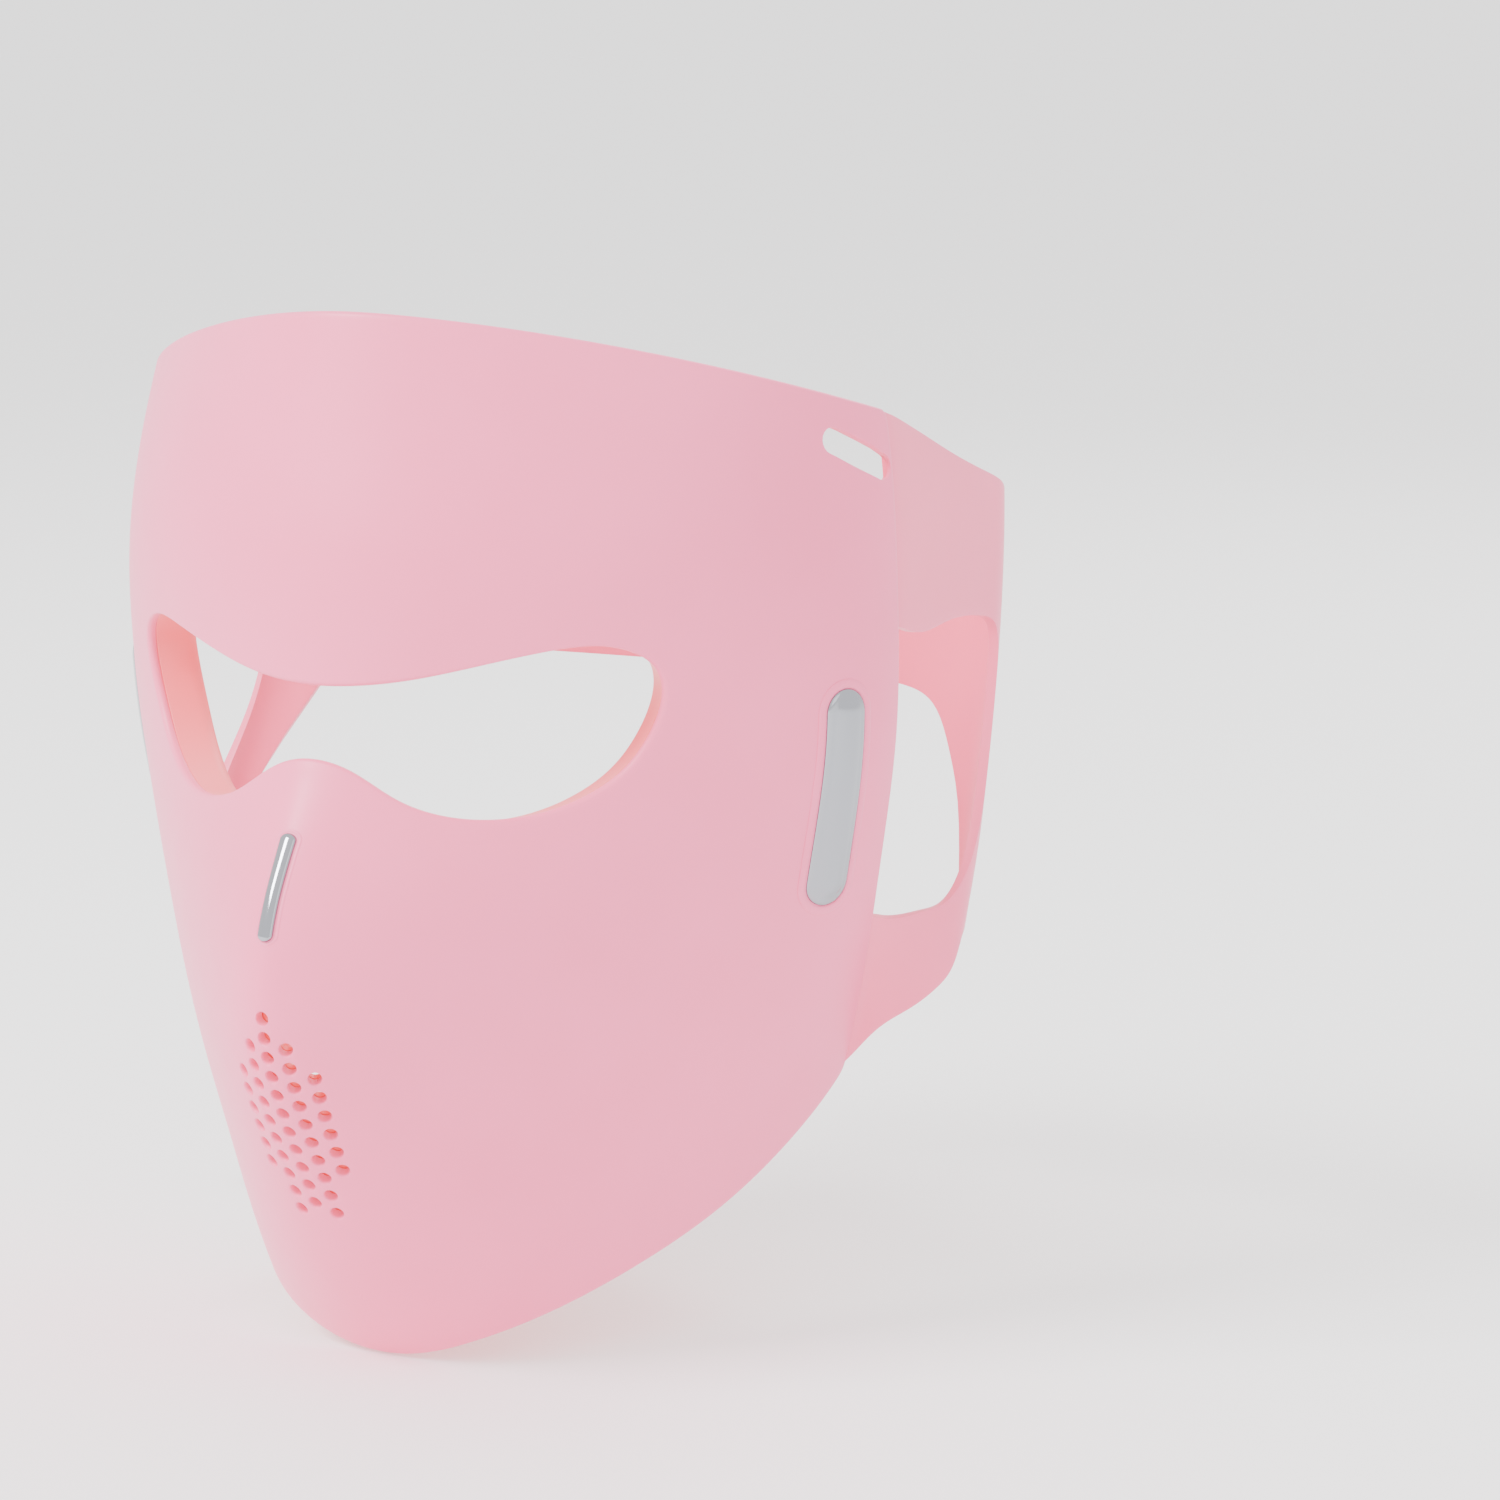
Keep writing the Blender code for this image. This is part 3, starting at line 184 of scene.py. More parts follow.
def leather(name, colour):
    made, nodes, links, shader = newMaterial(name, colour, 0.6, Sheen_Weight=0.2)
    place = nodes.new("ShaderNodeTexCoord")
    cells = nodes.new("ShaderNodeTexVoronoi")
    cells.feature = "DISTANCE_TO_EDGE"
    cells.inputs["Scale"].default_value = 620.0
    cells.inputs["Randomness"].default_value = 0.95
    links.new(place.outputs["Object"], cells.inputs["Vector"])
    creases = rampOf(nodes, links, cells.outputs["Distance"], [(0.0, (0, 0, 0)), (0.22, (1, 1, 1))])
    drift = addNoise(nodes, links, 55.0, 5.0)
    tint = rampOf(nodes, links, drift, [(0.25, shade(colour, 0.86)), (0.75, shade(colour, 1.1))])
    # Painted shade: the grain's creases are darkened in the base colour, where shade would fall into them.
    creaseShade = nodes.new("ShaderNodeMix")
    creaseShade.data_type = "RGBA"
    creaseShade.blend_type = "MULTIPLY"
    creaseShade.inputs["Factor"].default_value = 0.22
    links.new(tint, creaseShade.inputs["A"])
    links.new(creases, creaseShade.inputs["B"])
    links.new(creaseShade.outputs["Result"], shader.inputs["Base Color"])
    grain = addBump(nodes, links, shader, creases, 0.09, 0.6)
    addBump(nodes, links, shader, addNoise(nodes, links, 1500.0, 3.0), 0.03, 0.5, grain)
    return made


# Brushed loops: one fine noise makes the pile of the hook-and-loop pads, in its tone and its bump.
def pile(name, colour):
    made, nodes, links, shader = newMaterial(name, colour, 0.95, Sheen_Weight=0.6)
    fuzz = addNoise(nodes, links, 1300.0, 6.0, 0.75)
    tint = rampOf(nodes, links, fuzz, [(0.3, shade(colour, 0.6)), (0.7, shade(colour, 1.15))])
    links.new(tint, shader.inputs["Base Color"])
    addBump(nodes, links, shader, fuzz, 0.35, 0.9)
    return made


def polished(name, colour, roughness, grain=0.0):
    made, nodes, links, shader = newMaterial(name, colour, roughness, Metallic=1.0)
    smudge = nodes.new("ShaderNodeMapRange")
    smudge.inputs["To Min"].default_value = roughness
    smudge.inputs["To Max"].default_value = roughness + 0.05
    links.new(addNoise(nodes, links, 120.0, 5.0), smudge.inputs["Value"])
    links.new(smudge.outputs["Result"], shader.inputs["Roughness"])
    addBump(nodes, links, shader, addNoise(nodes, links, 900.0, 2.0), 0.004 + grain, 0.3)
    return made


def plastic(name, colour, roughness, grainScale=1400.0, emission=None, scatter=0.0):
    made, nodes, links, shader = newMaterial(name, colour, roughness, Subsurface_Weight=scatter,
                                             Subsurface_Scale=0.002)
    drift = addNoise(nodes, links, 60.0, 3.0)
    tint = rampOf(nodes, links, drift, [(0.3, shade(colour, 0.94)), (0.7, colour)])
    links.new(tint, shader.inputs["Base Color"])
    addBump(nodes, links, shader, addNoise(nodes, links, grainScale, 2.0), 0.02, 0.5)
    if emission is not None:
        shader.inputs["Emission Color"].default_value = (*emission[0], 1)
        shader.inputs["Emission Strength"].default_value = emission[1]
    return made


shellPink = silicone("shellPink", (1.0, 0.17, 0.34), 0.42, scatter=0.08)
strapPink = silicone("strapPink", (0.98, 0.17, 0.31), 0.42, scatter=0.1)
# The frame and the eye cushion carry a faint painted glow: emission standing in for the lights shining through the
# silicone.
frameCoral = silicone("frameCoral", (0.9, 0.12, 0.14), 0.36, ((1.0, 0.04, 0.04), 0.35), 0.15)
cushionCoral = silicone("cushionCoral", (0.92, 0.17, 0.2), 0.4, ((1.0, 0.05, 0.05), 0.3), 0.2)
liningCoral = litSilicone("liningCoral", (0.42, 0.008, 0.008), [
    (0.0, (0.5, 0.0, 0.005)), (0.35, (0.9, 0.012, 0.012)), (0.8, (1.0, 0.03, 0.02))], 1.25, 0.05)
boardRed = litSilicone("boardRed", (0.16, 0.001, 0.003), [
    (0.0, (0.3, 0.0, 0.003)), (0.8, (0.6, 0.001, 0.004)), (1.0, (0.9, 0.01, 0.005))], 0.2, 0.02)
lampWhite = plastic("lampWhite", (0.85, 0.6, 0.4), 0.35, emission=((1.0, 0.25, 0.06), 0.9))
lampGlow = plastic("lampGlow", (1.0, 0.8, 0.3), 0.3, emission=((1.0, 0.62, 0.14), 5.0))
solderSilver = polished("solderSilver", (0.8, 0.79, 0.76), 0.28)
leatherRose = leather("leatherRose", (0.58, 0.1, 0.13))
stitchRose = plastic("stitchRose", (0.3, 0.03, 0.05), 0.8, 2200.0)
padRose = pile("padRose", (0.75, 0.36, 0.45))
chrome = polished("chrome", (0.33, 0.34, 0.37), 0.07)
cableWhite = plastic("cableWhite", (0.86, 0.84, 0.83), 0.42, 1800.0, scatter=0.1)
plugSteel = polished("plugSteel", (0.72, 0.73, 0.75), 0.22, 0.01)
contactGold = polished("contactGold", (0.9, 0.68, 0.3), 0.2)
tieGrey = pile("tieGrey", (0.7, 0.7, 0.72))

print("stage: the face surface")


# A smooth curve through the values at the knots, straight at both ends.
def naturalSpline(knots, values):
    knots = np.asarray(knots, float)
    values = np.asarray(values, float).reshape(len(knots), -1)
    steps = np.diff(knots)
    slopes = np.diff(values, axis=0) / steps[:, None]
    system = np.eye(len(knots))
    right = np.zeros_like(values)
    for i in range(1, len(knots) - 1):
        system[i, i - 1:i + 2] = (steps[i - 1], 2 * (steps[i - 1] + steps[i]), steps[i])
        right[i] = 6 * (slopes[i] - slopes[i - 1])
    bends = np.linalg.solve(system, right)

    def at(where):
        where = np.asarray(where, float)
        i = np.clip(np.searchsorted(knots, where) - 1, 0, len(steps) - 1)
        step = steps[i][..., None]
        after = (where - knots[i])[..., None]
        before = step - after
        curved = (bends[i] * before**3 + bends[i + 1] * after**3) / (6 * step)
        low = (values[i] / step - bends[i] * step / 6) * before
        high = (values[i + 1] / step - bends[i + 1] * step / 6) * after
        return curved + low + high

    return at


def chordLengths(points):
    return np.concatenate([[0.0], np.cumsum(np.linalg.norm(np.diff(points, axis=0), axis=1))])


def along(points, count):
    lengths = chordLengths(points)
    wanted = np.linspace(0, lengths[-1], count)
    return np.stack([np.interp(wanted, lengths, column) for column in np.transpose(points)], 1)


def smoothStep(value):
    value = np.clip(value, 0.0, 1.0)
    return value * value * (3 - 2 * value)


# The same form that the frame has: heights, reaches and half widths are shares of its size.
face = {
    "sections": (
        (0.0, 0.559, 0.622), (0.094, 0.714, 0.684), (0.213, 0.867, 0.776), (0.357, 1.011, 0.884),
        (0.477, 0.974, 0.953), (0.596, 0.839, 1.0), (0.745, 0.813, 1.0), (0.872, 0.766, 0.975),
        (1.0, 0.711, 0.917),
    ),
    "edges": (
        (0.0, 0.2, 0.66, 0.42, 0.12), (0.255, 0.11, 0.34, 0.31, 0.06), (0.511, -0.006, 0.17, 0.33, -0.07),
        (0.766, -0.026, 0.44, 0.47, 0.1), (1.0, -0.03, 0.36, 0.33, 0.13),
    ),
    "lowerEdge": (0.0, 0.02, 0.052, 0.0925, 0.153, 0.254),
    "eye": (
        (0.0, 0.662), (0.189, 0.668), (0.49, 0.6975), (0.612, 0.699), (0.661, 0.687), (0.642, 0.607),
        (0.593, 0.579), (0.466, 0.549), (0.208, 0.5625), (0.095, 0.589), (0.0, 0.5975),
    ),
    "wall": 2.4,
    "layerGap": 0.6,
}
sections = np.array(face["sections"])
edges = np.array(face["edges"])
shellLow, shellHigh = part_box("outer_shell")
shares = naturalSpline(sections[:, 0], sections[:, 1:])(np.linspace(0, 1, 400))
faceHeight = shellHigh[2] / mm
faceDepth = -shellLow[1] / mm / shares[:, 0].max()
halfWidth = shellHigh[0] / mm / shares[:, 1].max()
arcScale = 1.4 * halfWidth
middleAndWidth = naturalSpline(sections[:, 0] * faceHeight, sections[:, 1:] * [-faceDepth, halfWidth])
edgeShape = naturalSpline(edges[:, 0] * faceHeight, edges[:, 1:] * [faceDepth, 1, 1, 1])
lowerShares = face["lowerEdge"]
lowerSpline = naturalSpline(
    np.linspace(-1, 1, 2 * len(lowerShares) - 1), np.array(lowerShares[:0:-1] + lowerShares) * faceHeight)


def lowerEdge(t):
    return lowerSpline(t)[..., 0]


def upperEdge(t):
    return faceHeight * (1 - 0.144 * t**2 + 0.048 * t**4)


# A level section is two mirrored Bezier curves: t is 0 at the front and 1 or -1 at the side edge.
def facePoint(t, z):
    t, z = np.broadcast_arrays(np.asarray(t, float), np.asarray(z, float))
    middle, width = np.moveaxis(middleAndWidth(z), -1, 0)
    edge, frontFull, sideFull, lean = np.moveaxis(edgeShape(z), -1, 0)
    u = np.abs(t)
    depth = edge - middle
    sideX = width - np.sin(lean) * sideFull * depth
    sideY = edge - np.cos(lean) * sideFull * depth
    x = 3 * u * (1 - u)**2 * frontFull * width + 3 * u**2 * (1 - u) * sideX + u**3 * width
    y = ((1 - u)**3 + 3 * u * (1 - u)**2) * middle + 3 * u**2 * (1 - u) * sideY + u**3 * edge
    return np.stack([np.sign(t) * x, y, z], -1)


def faceNormal(t, z):
    across = facePoint(t + 1e-3, z) - facePoint(t - 1e-3, z)
    up = facePoint(t, z + 0.2) - facePoint(t, z - 0.2)
    normal = np.cross(across, up)
    return normal / np.linalg.norm(normal, axis=-1, keepdims=True)


def underFace(t, z, depth):
    return facePoint(t, z) - faceNormal(t, z) * np.asarray(depth)[..., None]


def tOf(x, z):
    x, z = np.broadcast_arrays(np.asarray(x, float), np.asarray(z, float))
    low = np.zeros_like(x)
    high = np.full_like(x, 1.05)
    for _ in range(30):
        middle = (low + high) / 2
        inside = facePoint(middle, z)[..., 0] < np.abs(x)
        low = np.where(inside, middle, low)
        high = np.where(inside, high, middle)
    return np.sign(x) * low


def eyeOutline(count):
    half = np.array(face["eye"]) * [halfWidth, faceHeight]
    left = half[1:-1][::-1] * [-1, 1]
    wrapped = np.concatenate([left[-3:], half, left, half[:4]])
    lengths = chordLengths(wrapped)
    start = lengths[3]
    stop = lengths[3 + len(half) + len(left)]
    spots = start + (stop - start) * np.arange(count) / count
    return naturalSpline(lengths, wrapped)(spots)


slotShape = {"length": 22.0, "width": 6.0, "spot": 0.9, "drop": 11.5, "tilt": math.radians(22), "mouth": 0.7}
rimShape = {"width": 8.0, "height": 5.0, "inset": 5.2, "panelGap": 1.6}


# How far up and out a loop may go at the temples, so that it passes inside the slot.
def cornerLimit(inset):
    cap = (slotShape["length"] - slotShape["width"]) / 2
    height = upperEdge(slotShape["spot"]) - slotShape["drop"]
    rise = math.sin(slotShape["tilt"]) - math.cos(slotShape["tilt"])
    corner = arcScale * slotShape["spot"] + height + cap * rise
    clear = slotShape["width"] / 2 + rimShape["panelGap"] + rimShape["width"] / 2 + inset - rimShape["inset"]
    return corner - math.sqrt(2) * clear


# The loop that runs inside the shell's edge, as (t, z), rounded at its corners.
def edgeLoop(inset, count):
    side = 1 - inset / (1.22 * halfWidth)
    across = np.linspace(-side, side, 61)
    slope = np.gradient(lowerEdge(across), across) / (1.5 * halfWidth)
    low = lowerEdge(across) + inset * np.sqrt(1 + slope**2)
    high = upperEdge(across) - inset
    right = low[-1] + (high[-1] - low[-1]) * np.linspace(0, 1, 31)[1:-1]
    loop = np.concatenate([
        np.stack([across, low], 1),
        np.stack([np.full(29, side), right], 1),
        np.stack([across, high], 1)[::-1],
        np.stack([np.full(29, -side), right[::-1]], 1),
    ])
    scale = np.array([arcScale, 1.0])
    loop = loop * scale
    over = np.maximum(np.abs(loop[:, 0]) + loop[:, 1] - cornerLimit(inset), 0.0) / 2
    loop -= np.stack([np.sign(loop[:, 0]) * over, over], 1)
    loop = along(np.concatenate([loop, loop[:1]]), 241)[:-1]
    for _ in range(10):
        loop = (np.roll(loop, 1, axis=0) + 2 * loop + np.roll(loop, -1, axis=0)) / 4
    loop = np.concatenate([loop[-4:], loop, loop[:5]])
    lengths = chordLengths(loop)
    spots = lengths[4] + (lengths[-5] - lengths[4]) * np.arange(count) / count
    return naturalSpline(lengths, loop)(spots) / scale


# Quads of a grid with rows and columns, which may close on themselves.
def gridFaces(rows, columns, closeRows=False, closeColumns=False, start=0):
    r = np.arange(rows if closeRows else rows - 1)[:, None]
    c = np.arange(columns if closeColumns else columns - 1)[None, :]
    nextRow = (r + 1) % rows
    nextColumn = (c + 1) % columns
    quads = np.stack([r * columns + c, nextRow * columns + c, nextRow * columns + nextColumn,
                      r * columns + nextColumn], -1)
    return quads.reshape(-1, 4) + start


def newPiece(name, points, faces, material, body, slotName, nodes=(), sharp=38):
    mesh = bpy.data.meshes.new(name)
    mesh.from_pydata(np.asarray(points, float).reshape(-1, 3) * mm, [], [list(map(int, f)) for f in faces])
    mesh.validate()
    mesh.shade_smooth()
    mesh.set_sharp_from_angle(angle=math.radians(sharp))
    mesh.materials.append(material)
    made = bpy.data.objects.new(name, mesh)
    bpy.context.scene.collection.objects.link(made)
    if body:
        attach(made, body)
    if nodes:
        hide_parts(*nodes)
    return made


def turnOut(mesh):
    shape = bmesh.new()
    shape.from_mesh(mesh)
    bmesh.ops.remove_doubles(shape, verts=shape.verts, dist=1e-6)
    bmesh.ops.recalc_face_normals(shape, faces=shape.faces)
    shape.to_mesh(mesh)
    shape.free()
    return mesh


# A profile of (across, depth) pairs carried along a path on the face.
def sweptStrip(name, t, z, profile, closed, share=None, **facts):
    points = facePoint(t, z)
    outward = faceNormal(t, z)
    if closed:
        tangent = np.roll(points, -1, axis=0) - np.roll(points, 1, axis=0)
    else:
        tangent = np.gradient(points, axis=0)
    tangent /= np.linalg.norm(tangent, axis=1, keepdims=True)
    across = np.cross(outward, tangent)
    across /= np.linalg.norm(across, axis=1, keepdims=True)
    if share is not None:
        across = across * share[:, None]
    profile = np.asarray(profile, float)
    grid = (points[:, None] + across[:, None] * profile[None, :, :1] - outward[:, None] * profile[None, :, 1:])
    faces = gridFaces(len(t), len(profile), closed, True).tolist()
    if not closed:
        count = len(profile)
        faces += [list(range(count)), list(range((len(t) - 1) * count, len(t) * count))[::-1]]
    made = newPiece(name, grid, faces, **facts)
    turnOut(made.data)
    return made


# A profile's corners rounded off: each becomes an arc of its own radius, as (x, y, radius) triples.
def rounded(corners, steps=5):
    corners = np.asarray(corners, float)
    points = []
    for i, (x, y, radius) in enumerate(corners):
        here = np.array([x, y])
        before = corners[i - 1, :2] - here
        after = corners[(i + 1) % len(corners), :2] - here
        reach = min(radius, 0.49 * np.linalg.norm(before), 0.49 * np.linalg.norm(after))
        first = here + before / np.linalg.norm(before) * reach
        last = here + after / np.linalg.norm(after) * reach
        u = np.linspace(0, 1, steps)[:, None]
        points += (first * (1 - u)**2 + 2 * here * u * (1 - u) + last * u**2).tolist()
    return points


# A stadium's outline with points all along it, from the top's middle down one side and up the other.
def stadium(width, length, steps=12):
    radius = width / 2
    turns = np.linspace(0.5, 1.0, steps // 2 + 1) * math.pi
    arc = np.stack([radius * np.cos(turns), length / 2 - radius + radius * np.sin(turns)], 1)
    half = length / 2 - radius
    side = np.linspace(half, -half, max(3, int(length / 1.2)))[1:-1]
    down = np.concatenate([arc, np.stack([np.full(len(side), -radius), side], 1), arc[::-1] * [1, -1]])
    return np.concatenate([down, down[1:-1][::-1] * [-1, 1]])


# Quads across a ring whose points mirror each other from its first point on.
def mirroredCap(base, columns, turned):
    faces = []
    for i in range(columns // 2):
        corners = list(dict.fromkeys([i, i + 1, columns - i - 1, (columns - i) % columns]))
        corners = [base + c for c in corners]
        faces.append(corners[::-1] if turned else corners)
    return faces


# The square frame of a place on the face: side, up and out as columns, with its origin.
def localFrame(t, z):
    origin = facePoint(t, z)
    out = faceNormal(t, z)
    up = facePoint(t, z + 0.5) - facePoint(t, z - 0.5)
    up -= out * np.dot(up, out)
    up /= np.linalg.norm(up)
    return np.stack([np.cross(up, out), up, out], 1), origin


# Rings of one outline at several levels with several offsets, closed at both ends: a flared cutter.
def flaredRings(outline, levels, frameOf):
    axes, origin = frameOf
    outline = np.asarray(outline, float)
    middle = outline.mean(axis=0)
    radius = np.linalg.norm(outline - middle, axis=1, keepdims=True)
    rings = []
    for level, grow in levels:
        spread = outline + (outline - middle) / radius * grow
        rings.append(origin + spread[:, :1] * axes[:, 0] + spread[:, 1:] * axes[:, 1] + level * axes[:, 2])
    return np.array(rings)


def cutterFrom(name, stacks):
    points, faces, start = [], [], 0
    for rings in stacks:
        rows, columns = rings.shape[:2]
        points.append(rings.reshape(-1, 3))
        faces += gridFaces(rows, columns, False, True, start).tolist()
        faces.append([start + i for i in range(columns)])
        faces.append([start + (rows - 1) * columns + i for i in range(columns)][::-1])
        start += rows * columns
    mesh = bpy.data.meshes.new(name)
    mesh.from_pydata(np.concatenate(points) * mm, [], faces)
    turnOut(mesh)
    made = bpy.data.objects.new(name, mesh)
    bpy.context.scene.collection.objects.link(made)
    return made


def cutAway(made, cutters, sharp=38):
    for cutter in cutters:
        change = made.modifiers.new(cutter.name, "BOOLEAN")
        change.object = cutter
    bpy.context.view_layer.update()
    kept = bpy.data.meshes.new_from_object(made.evaluated_get(bpy.context.evaluated_depsgraph_get()))
    old = made.data
    made.modifiers.clear()
    made.data = kept
    bpy.data.meshes.remove(old)
    for cutter in cutters:
        bpy.data.objects.remove(cutter, do_unlink=True)
    kept.shade_smooth()
    kept.set_sharp_from_angle(angle=math.radians(sharp))


print("stage: cable")

cable = {
    "diameter": 3.5,
    "length": 1.0,
    "lead": (
        (-50.4, -13.5, 11.7), (-50.6, -11.5, 9.1), (-51.0, -8.8, 6.6), (-51.7, -5.7, 4.6),
        (-53.0, -0.6, 2.75), (-54.1, 4.4, 2.05), (-54.8, 9.4, 1.95), (-55.1, 12.4, 1.95), (-55.1, 19.0, 2.6),
    ),
    "tail": (
        (-55.0, 33.3, 6.75), (-55.1, 40.3, 4.1), (-55.3, 45.0, 2.7), (-56.6, 50.2, 2.1), (-59.6, 55.2, 2.2),
        (-63.4, 58.6, 2.9), (-67.4, 59.9, 3.8), (-71.3, 60.0, 4.15),
    ),
    "pitch": 3.6,
    "pointsPerTurn": 28,
    "rise": 0.7,
}


# The coil, clockwise from above: one turn in along the floor, four up inside and three down outside.
def coilPoints(centre, outerRadius, floorLevel):
    pitch = cable["pitch"]
    f = np.arange(cable["pointsPerTurn"]) / cable["pointsPerTurn"]
    climb = smoothStep(f / cable["rise"])
    shift = smoothStep((f - cable["rise"]) / (1 - cable["rise"]))
    innerRadius = outerRadius - pitch
    radii = [outerRadius - pitch * shift]
    levels = [np.zeros_like(f)]
    for turn in range(4):
        radii.append(innerRadius + (pitch * shift if turn == 3 else 0 * f))
        levels.append(pitch * (turn + climb))
    for turn in range(3):
        radii.append(outerRadius + 0 * f)
        levels.append(pitch * (4 - turn - climb))
    radius = np.concatenate(radii + [[outerRadius]])
    level = floorLevel + np.concatenate(levels + [[pitch]])
    angle = math.pi - 2 * math.pi * np.arange(len(radius)) / cable["pointsPerTurn"]
    return np.stack([centre[0] + radius * np.cos(angle), centre[1] + radius * np.sin(angle), level], 1)


def makeCable():
    coilLow, coilHigh = (np.array(corner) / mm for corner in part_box("cable_coil"))
    centre = (coilLow + coilHigh)[:2] / 2
    outer = (coilHigh[0] - coilLow[0]) / 2 - cable["pitch"] / 2
    coil = coilPoints(centre, outer, coilLow[2] + cable["pitch"] / 2)
    route = np.concatenate([cable["lead"], coil, cable["tail"]])
    lengths = chordLengths(route)
    count = int(lengths[-1] / 2.6)
    points = naturalSpline(lengths, route)(np.linspace(0, lengths[-1], count))
    line = bpy.data.curves.new("cable", "CURVE")
    line.dimensions = "3D"
    line.bevel_depth = cable["diameter"] / 2 * mm
    line.bevel_resolution = 4
    line.use_fill_caps = True
    spline = line.splines.new("POLY")
    spline.points.add(len(points) - 1)
    spline.points.foreach_set("co", np.concatenate([points * mm, np.ones((len(points), 1))], 1).ravel())
    line.materials.append(cableWhite)
    made = bpy.data.objects.new("cable", line)
    bpy.context.scene.collection.objects.link(made)
    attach(made, "mask")
    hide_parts("cable_lead", "cable_coil", "cable_tail")
    measured = chordLengths(points)[-1] * mm
    print(f"cable length {measured:.4f} m")
    return made, points, measured


cablePiece, cablePoints, cableMeasured = makeCable()

print("stage: shell")

shell = {
    "around": 520,
    "rings": 92,
    "backRings": 22,
    "edgeRadius": 1.15,
    "edgeSteps": 7,
    "ventRadius": 1.5,
    "ventPitch": 4.5,
    "ventColumns": {-2: (3.0, 6), -1: (1.5, 10), 0: (0.0, 11), 1: (1.5, 10), 2: (3.0, 6)},
    "ventMiddle": 0.272,
}
ventMiddle = shell["ventMiddle"] * faceHeight


# Both outlines as (t, z) with equal shares of their lengths beside each other, from the top round.
def shellOutlines(count):
    eye = eyeOutline(count)
    inner = np.stack([tOf(eye[:, 0], eye[:, 1]) * arcScale, eye[:, 1]], 1)
    t = np.linspace(0, 1, 120)
    top = np.stack([t * arcScale, upperEdge(t)], 1)
    side = np.stack([np.full(60, arcScale), np.linspace(upperEdge(1.0), lowerEdge(1.0), 60)], 1)[1:-1]
    bottom = np.stack([t * arcScale, lowerEdge(t)], 1)[::-1]
    half = np.concatenate([top, side, bottom])
    half = along(half, 400)
    for _ in range(2):
        half[1:-1] = (half[:-2] + 2 * half[1:-1] + half[2:]) / 4
    whole = np.concatenate([half, half[1:-1][::-1] * [-1, 1], half[:1]])
    outer = along(whole, count + 1)[:-1]
    return inner, outer


# Rings go from the eye opening out over the front, round the outer edge, and back behind to the
# opening, where the last ring meets the first. Each is (share of the way out, depth).
def makeShell():
    inner, outer = shellOutlines(shell["around"])
    first = facePoint(inner[:, 0] / arcScale, inner[:, 1])
    last = facePoint(outer[:, 0] / arcScale, outer[:, 1])
    reach = np.linalg.norm(last - first, axis=1)
    radius = shell["edgeRadius"]
    turns = np.linspace(0, math.pi, shell["edgeSteps"] + 2)
    u = np.linspace(0, 1, shell["rings"])
    front = [(radius + (reach - 2 * radius) * s, 0.0) for s in u]
    outerEdge = [(reach - radius * (1 - math.sin(a)), face["wall"] / 2 * (1 - math.cos(a))) for a in turns[1:-1]]
    back = [(radius + (reach - 2 * radius) * s, face["wall"]) for s in np.linspace(1, 0, shell["backRings"])]
    innerEdge = [(radius * (1 - math.sin(a)), face["wall"] / 2 * (1 + math.cos(a))) for a in turns[1:-1]]
    rings = []
    for far, depth in front + outerEdge + back + innerEdge:
        share = (far / reach)[:, None]
        spot = inner * (1 - share) + outer * share
        rings.append(underFace(spot[:, 0] / arcScale, spot[:, 1], np.full(len(spot), depth)))
    faces = gridFaces(len(rings), shell["around"], True, True)
    made = newPiece("shell_skin", np.array(rings), faces, shellPink, None, "shell_silicone", ["outer_shell"])
    turnOut(made.data)
    return made


def ventSpots():
    spots = []
    firstVent = ventMiddle + 5.1 * shell["ventPitch"]
    for column, (startRow, count) in shell["ventColumns"].items():
        for row in range(count):
            height = firstVent - (startRow + row) * shell["ventPitch"]
            spots.append((float(tOf(column * shell["ventPitch"], height)), height))
    return spots


def ventCutter(name, front, back):
    turns = np.linspace(0, 2 * math.pi, 19)[:-1]
    circle = shell["ventRadius"] * np.stack([np.cos(turns), np.sin(turns)], 1)
    levels = [(-back, 0.0), (-front - 0.7, 0.0), (-front - 0.3, 0.06), (-front - 0.08, 0.22), (-front + 0.2, 0.7)]
    return cutterFrom(name, [flaredRings(circle, levels, localFrame(t, z)) for t, z in ventSpots()])


def slotCutter():
    stacks = []
    outline = stadium(slotShape["width"] - 0.1, slotShape["length"] - 0.1, 10)
    for side in (-1, 1):
        axes, origin = localFrame(side * slotShape["spot"], float(upperEdge(slotShape["spot"])) - slotShape["drop"])
        turn = side * (-math.pi / 2 - slotShape["tilt"])
        spun = np.array([[math.cos(turn), -math.sin(turn)], [math.sin(turn), math.cos(turn)]])
        levels = [(-7.0, 0.9), (-face["wall"] - 0.1, 0.75), (-face["wall"] + 0.5, 0.1), (-0.9, 0.0), (-0.35, 0.12),
                  (-0.1, 0.4), (0.6, 1.6)]
        stacks.append(flaredRings(outline @ spun.T, levels, (axes, origin)))
    return cutterFrom("slotCutter", stacks)


shellPiece = makeShell()
cutAway(shellPiece, [ventCutter("ventCutter", 0.0, 7.0), slotCutter()])
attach(shellPiece, "mask")

print("stage: trims")

trims = {
    "nose": {"t": 0.0, "height": 0.486, "width": 3.2, "length": 24.5, "proud": 0.8, "lip": 0.55, "lipGap": 0.35},
    "cheek": {"t": 0.845, "height": 0.546, "width": 11.0, "length": 50.0, "proud": 0.8, "lip": 1.6, "lipGap": 0.35},
}


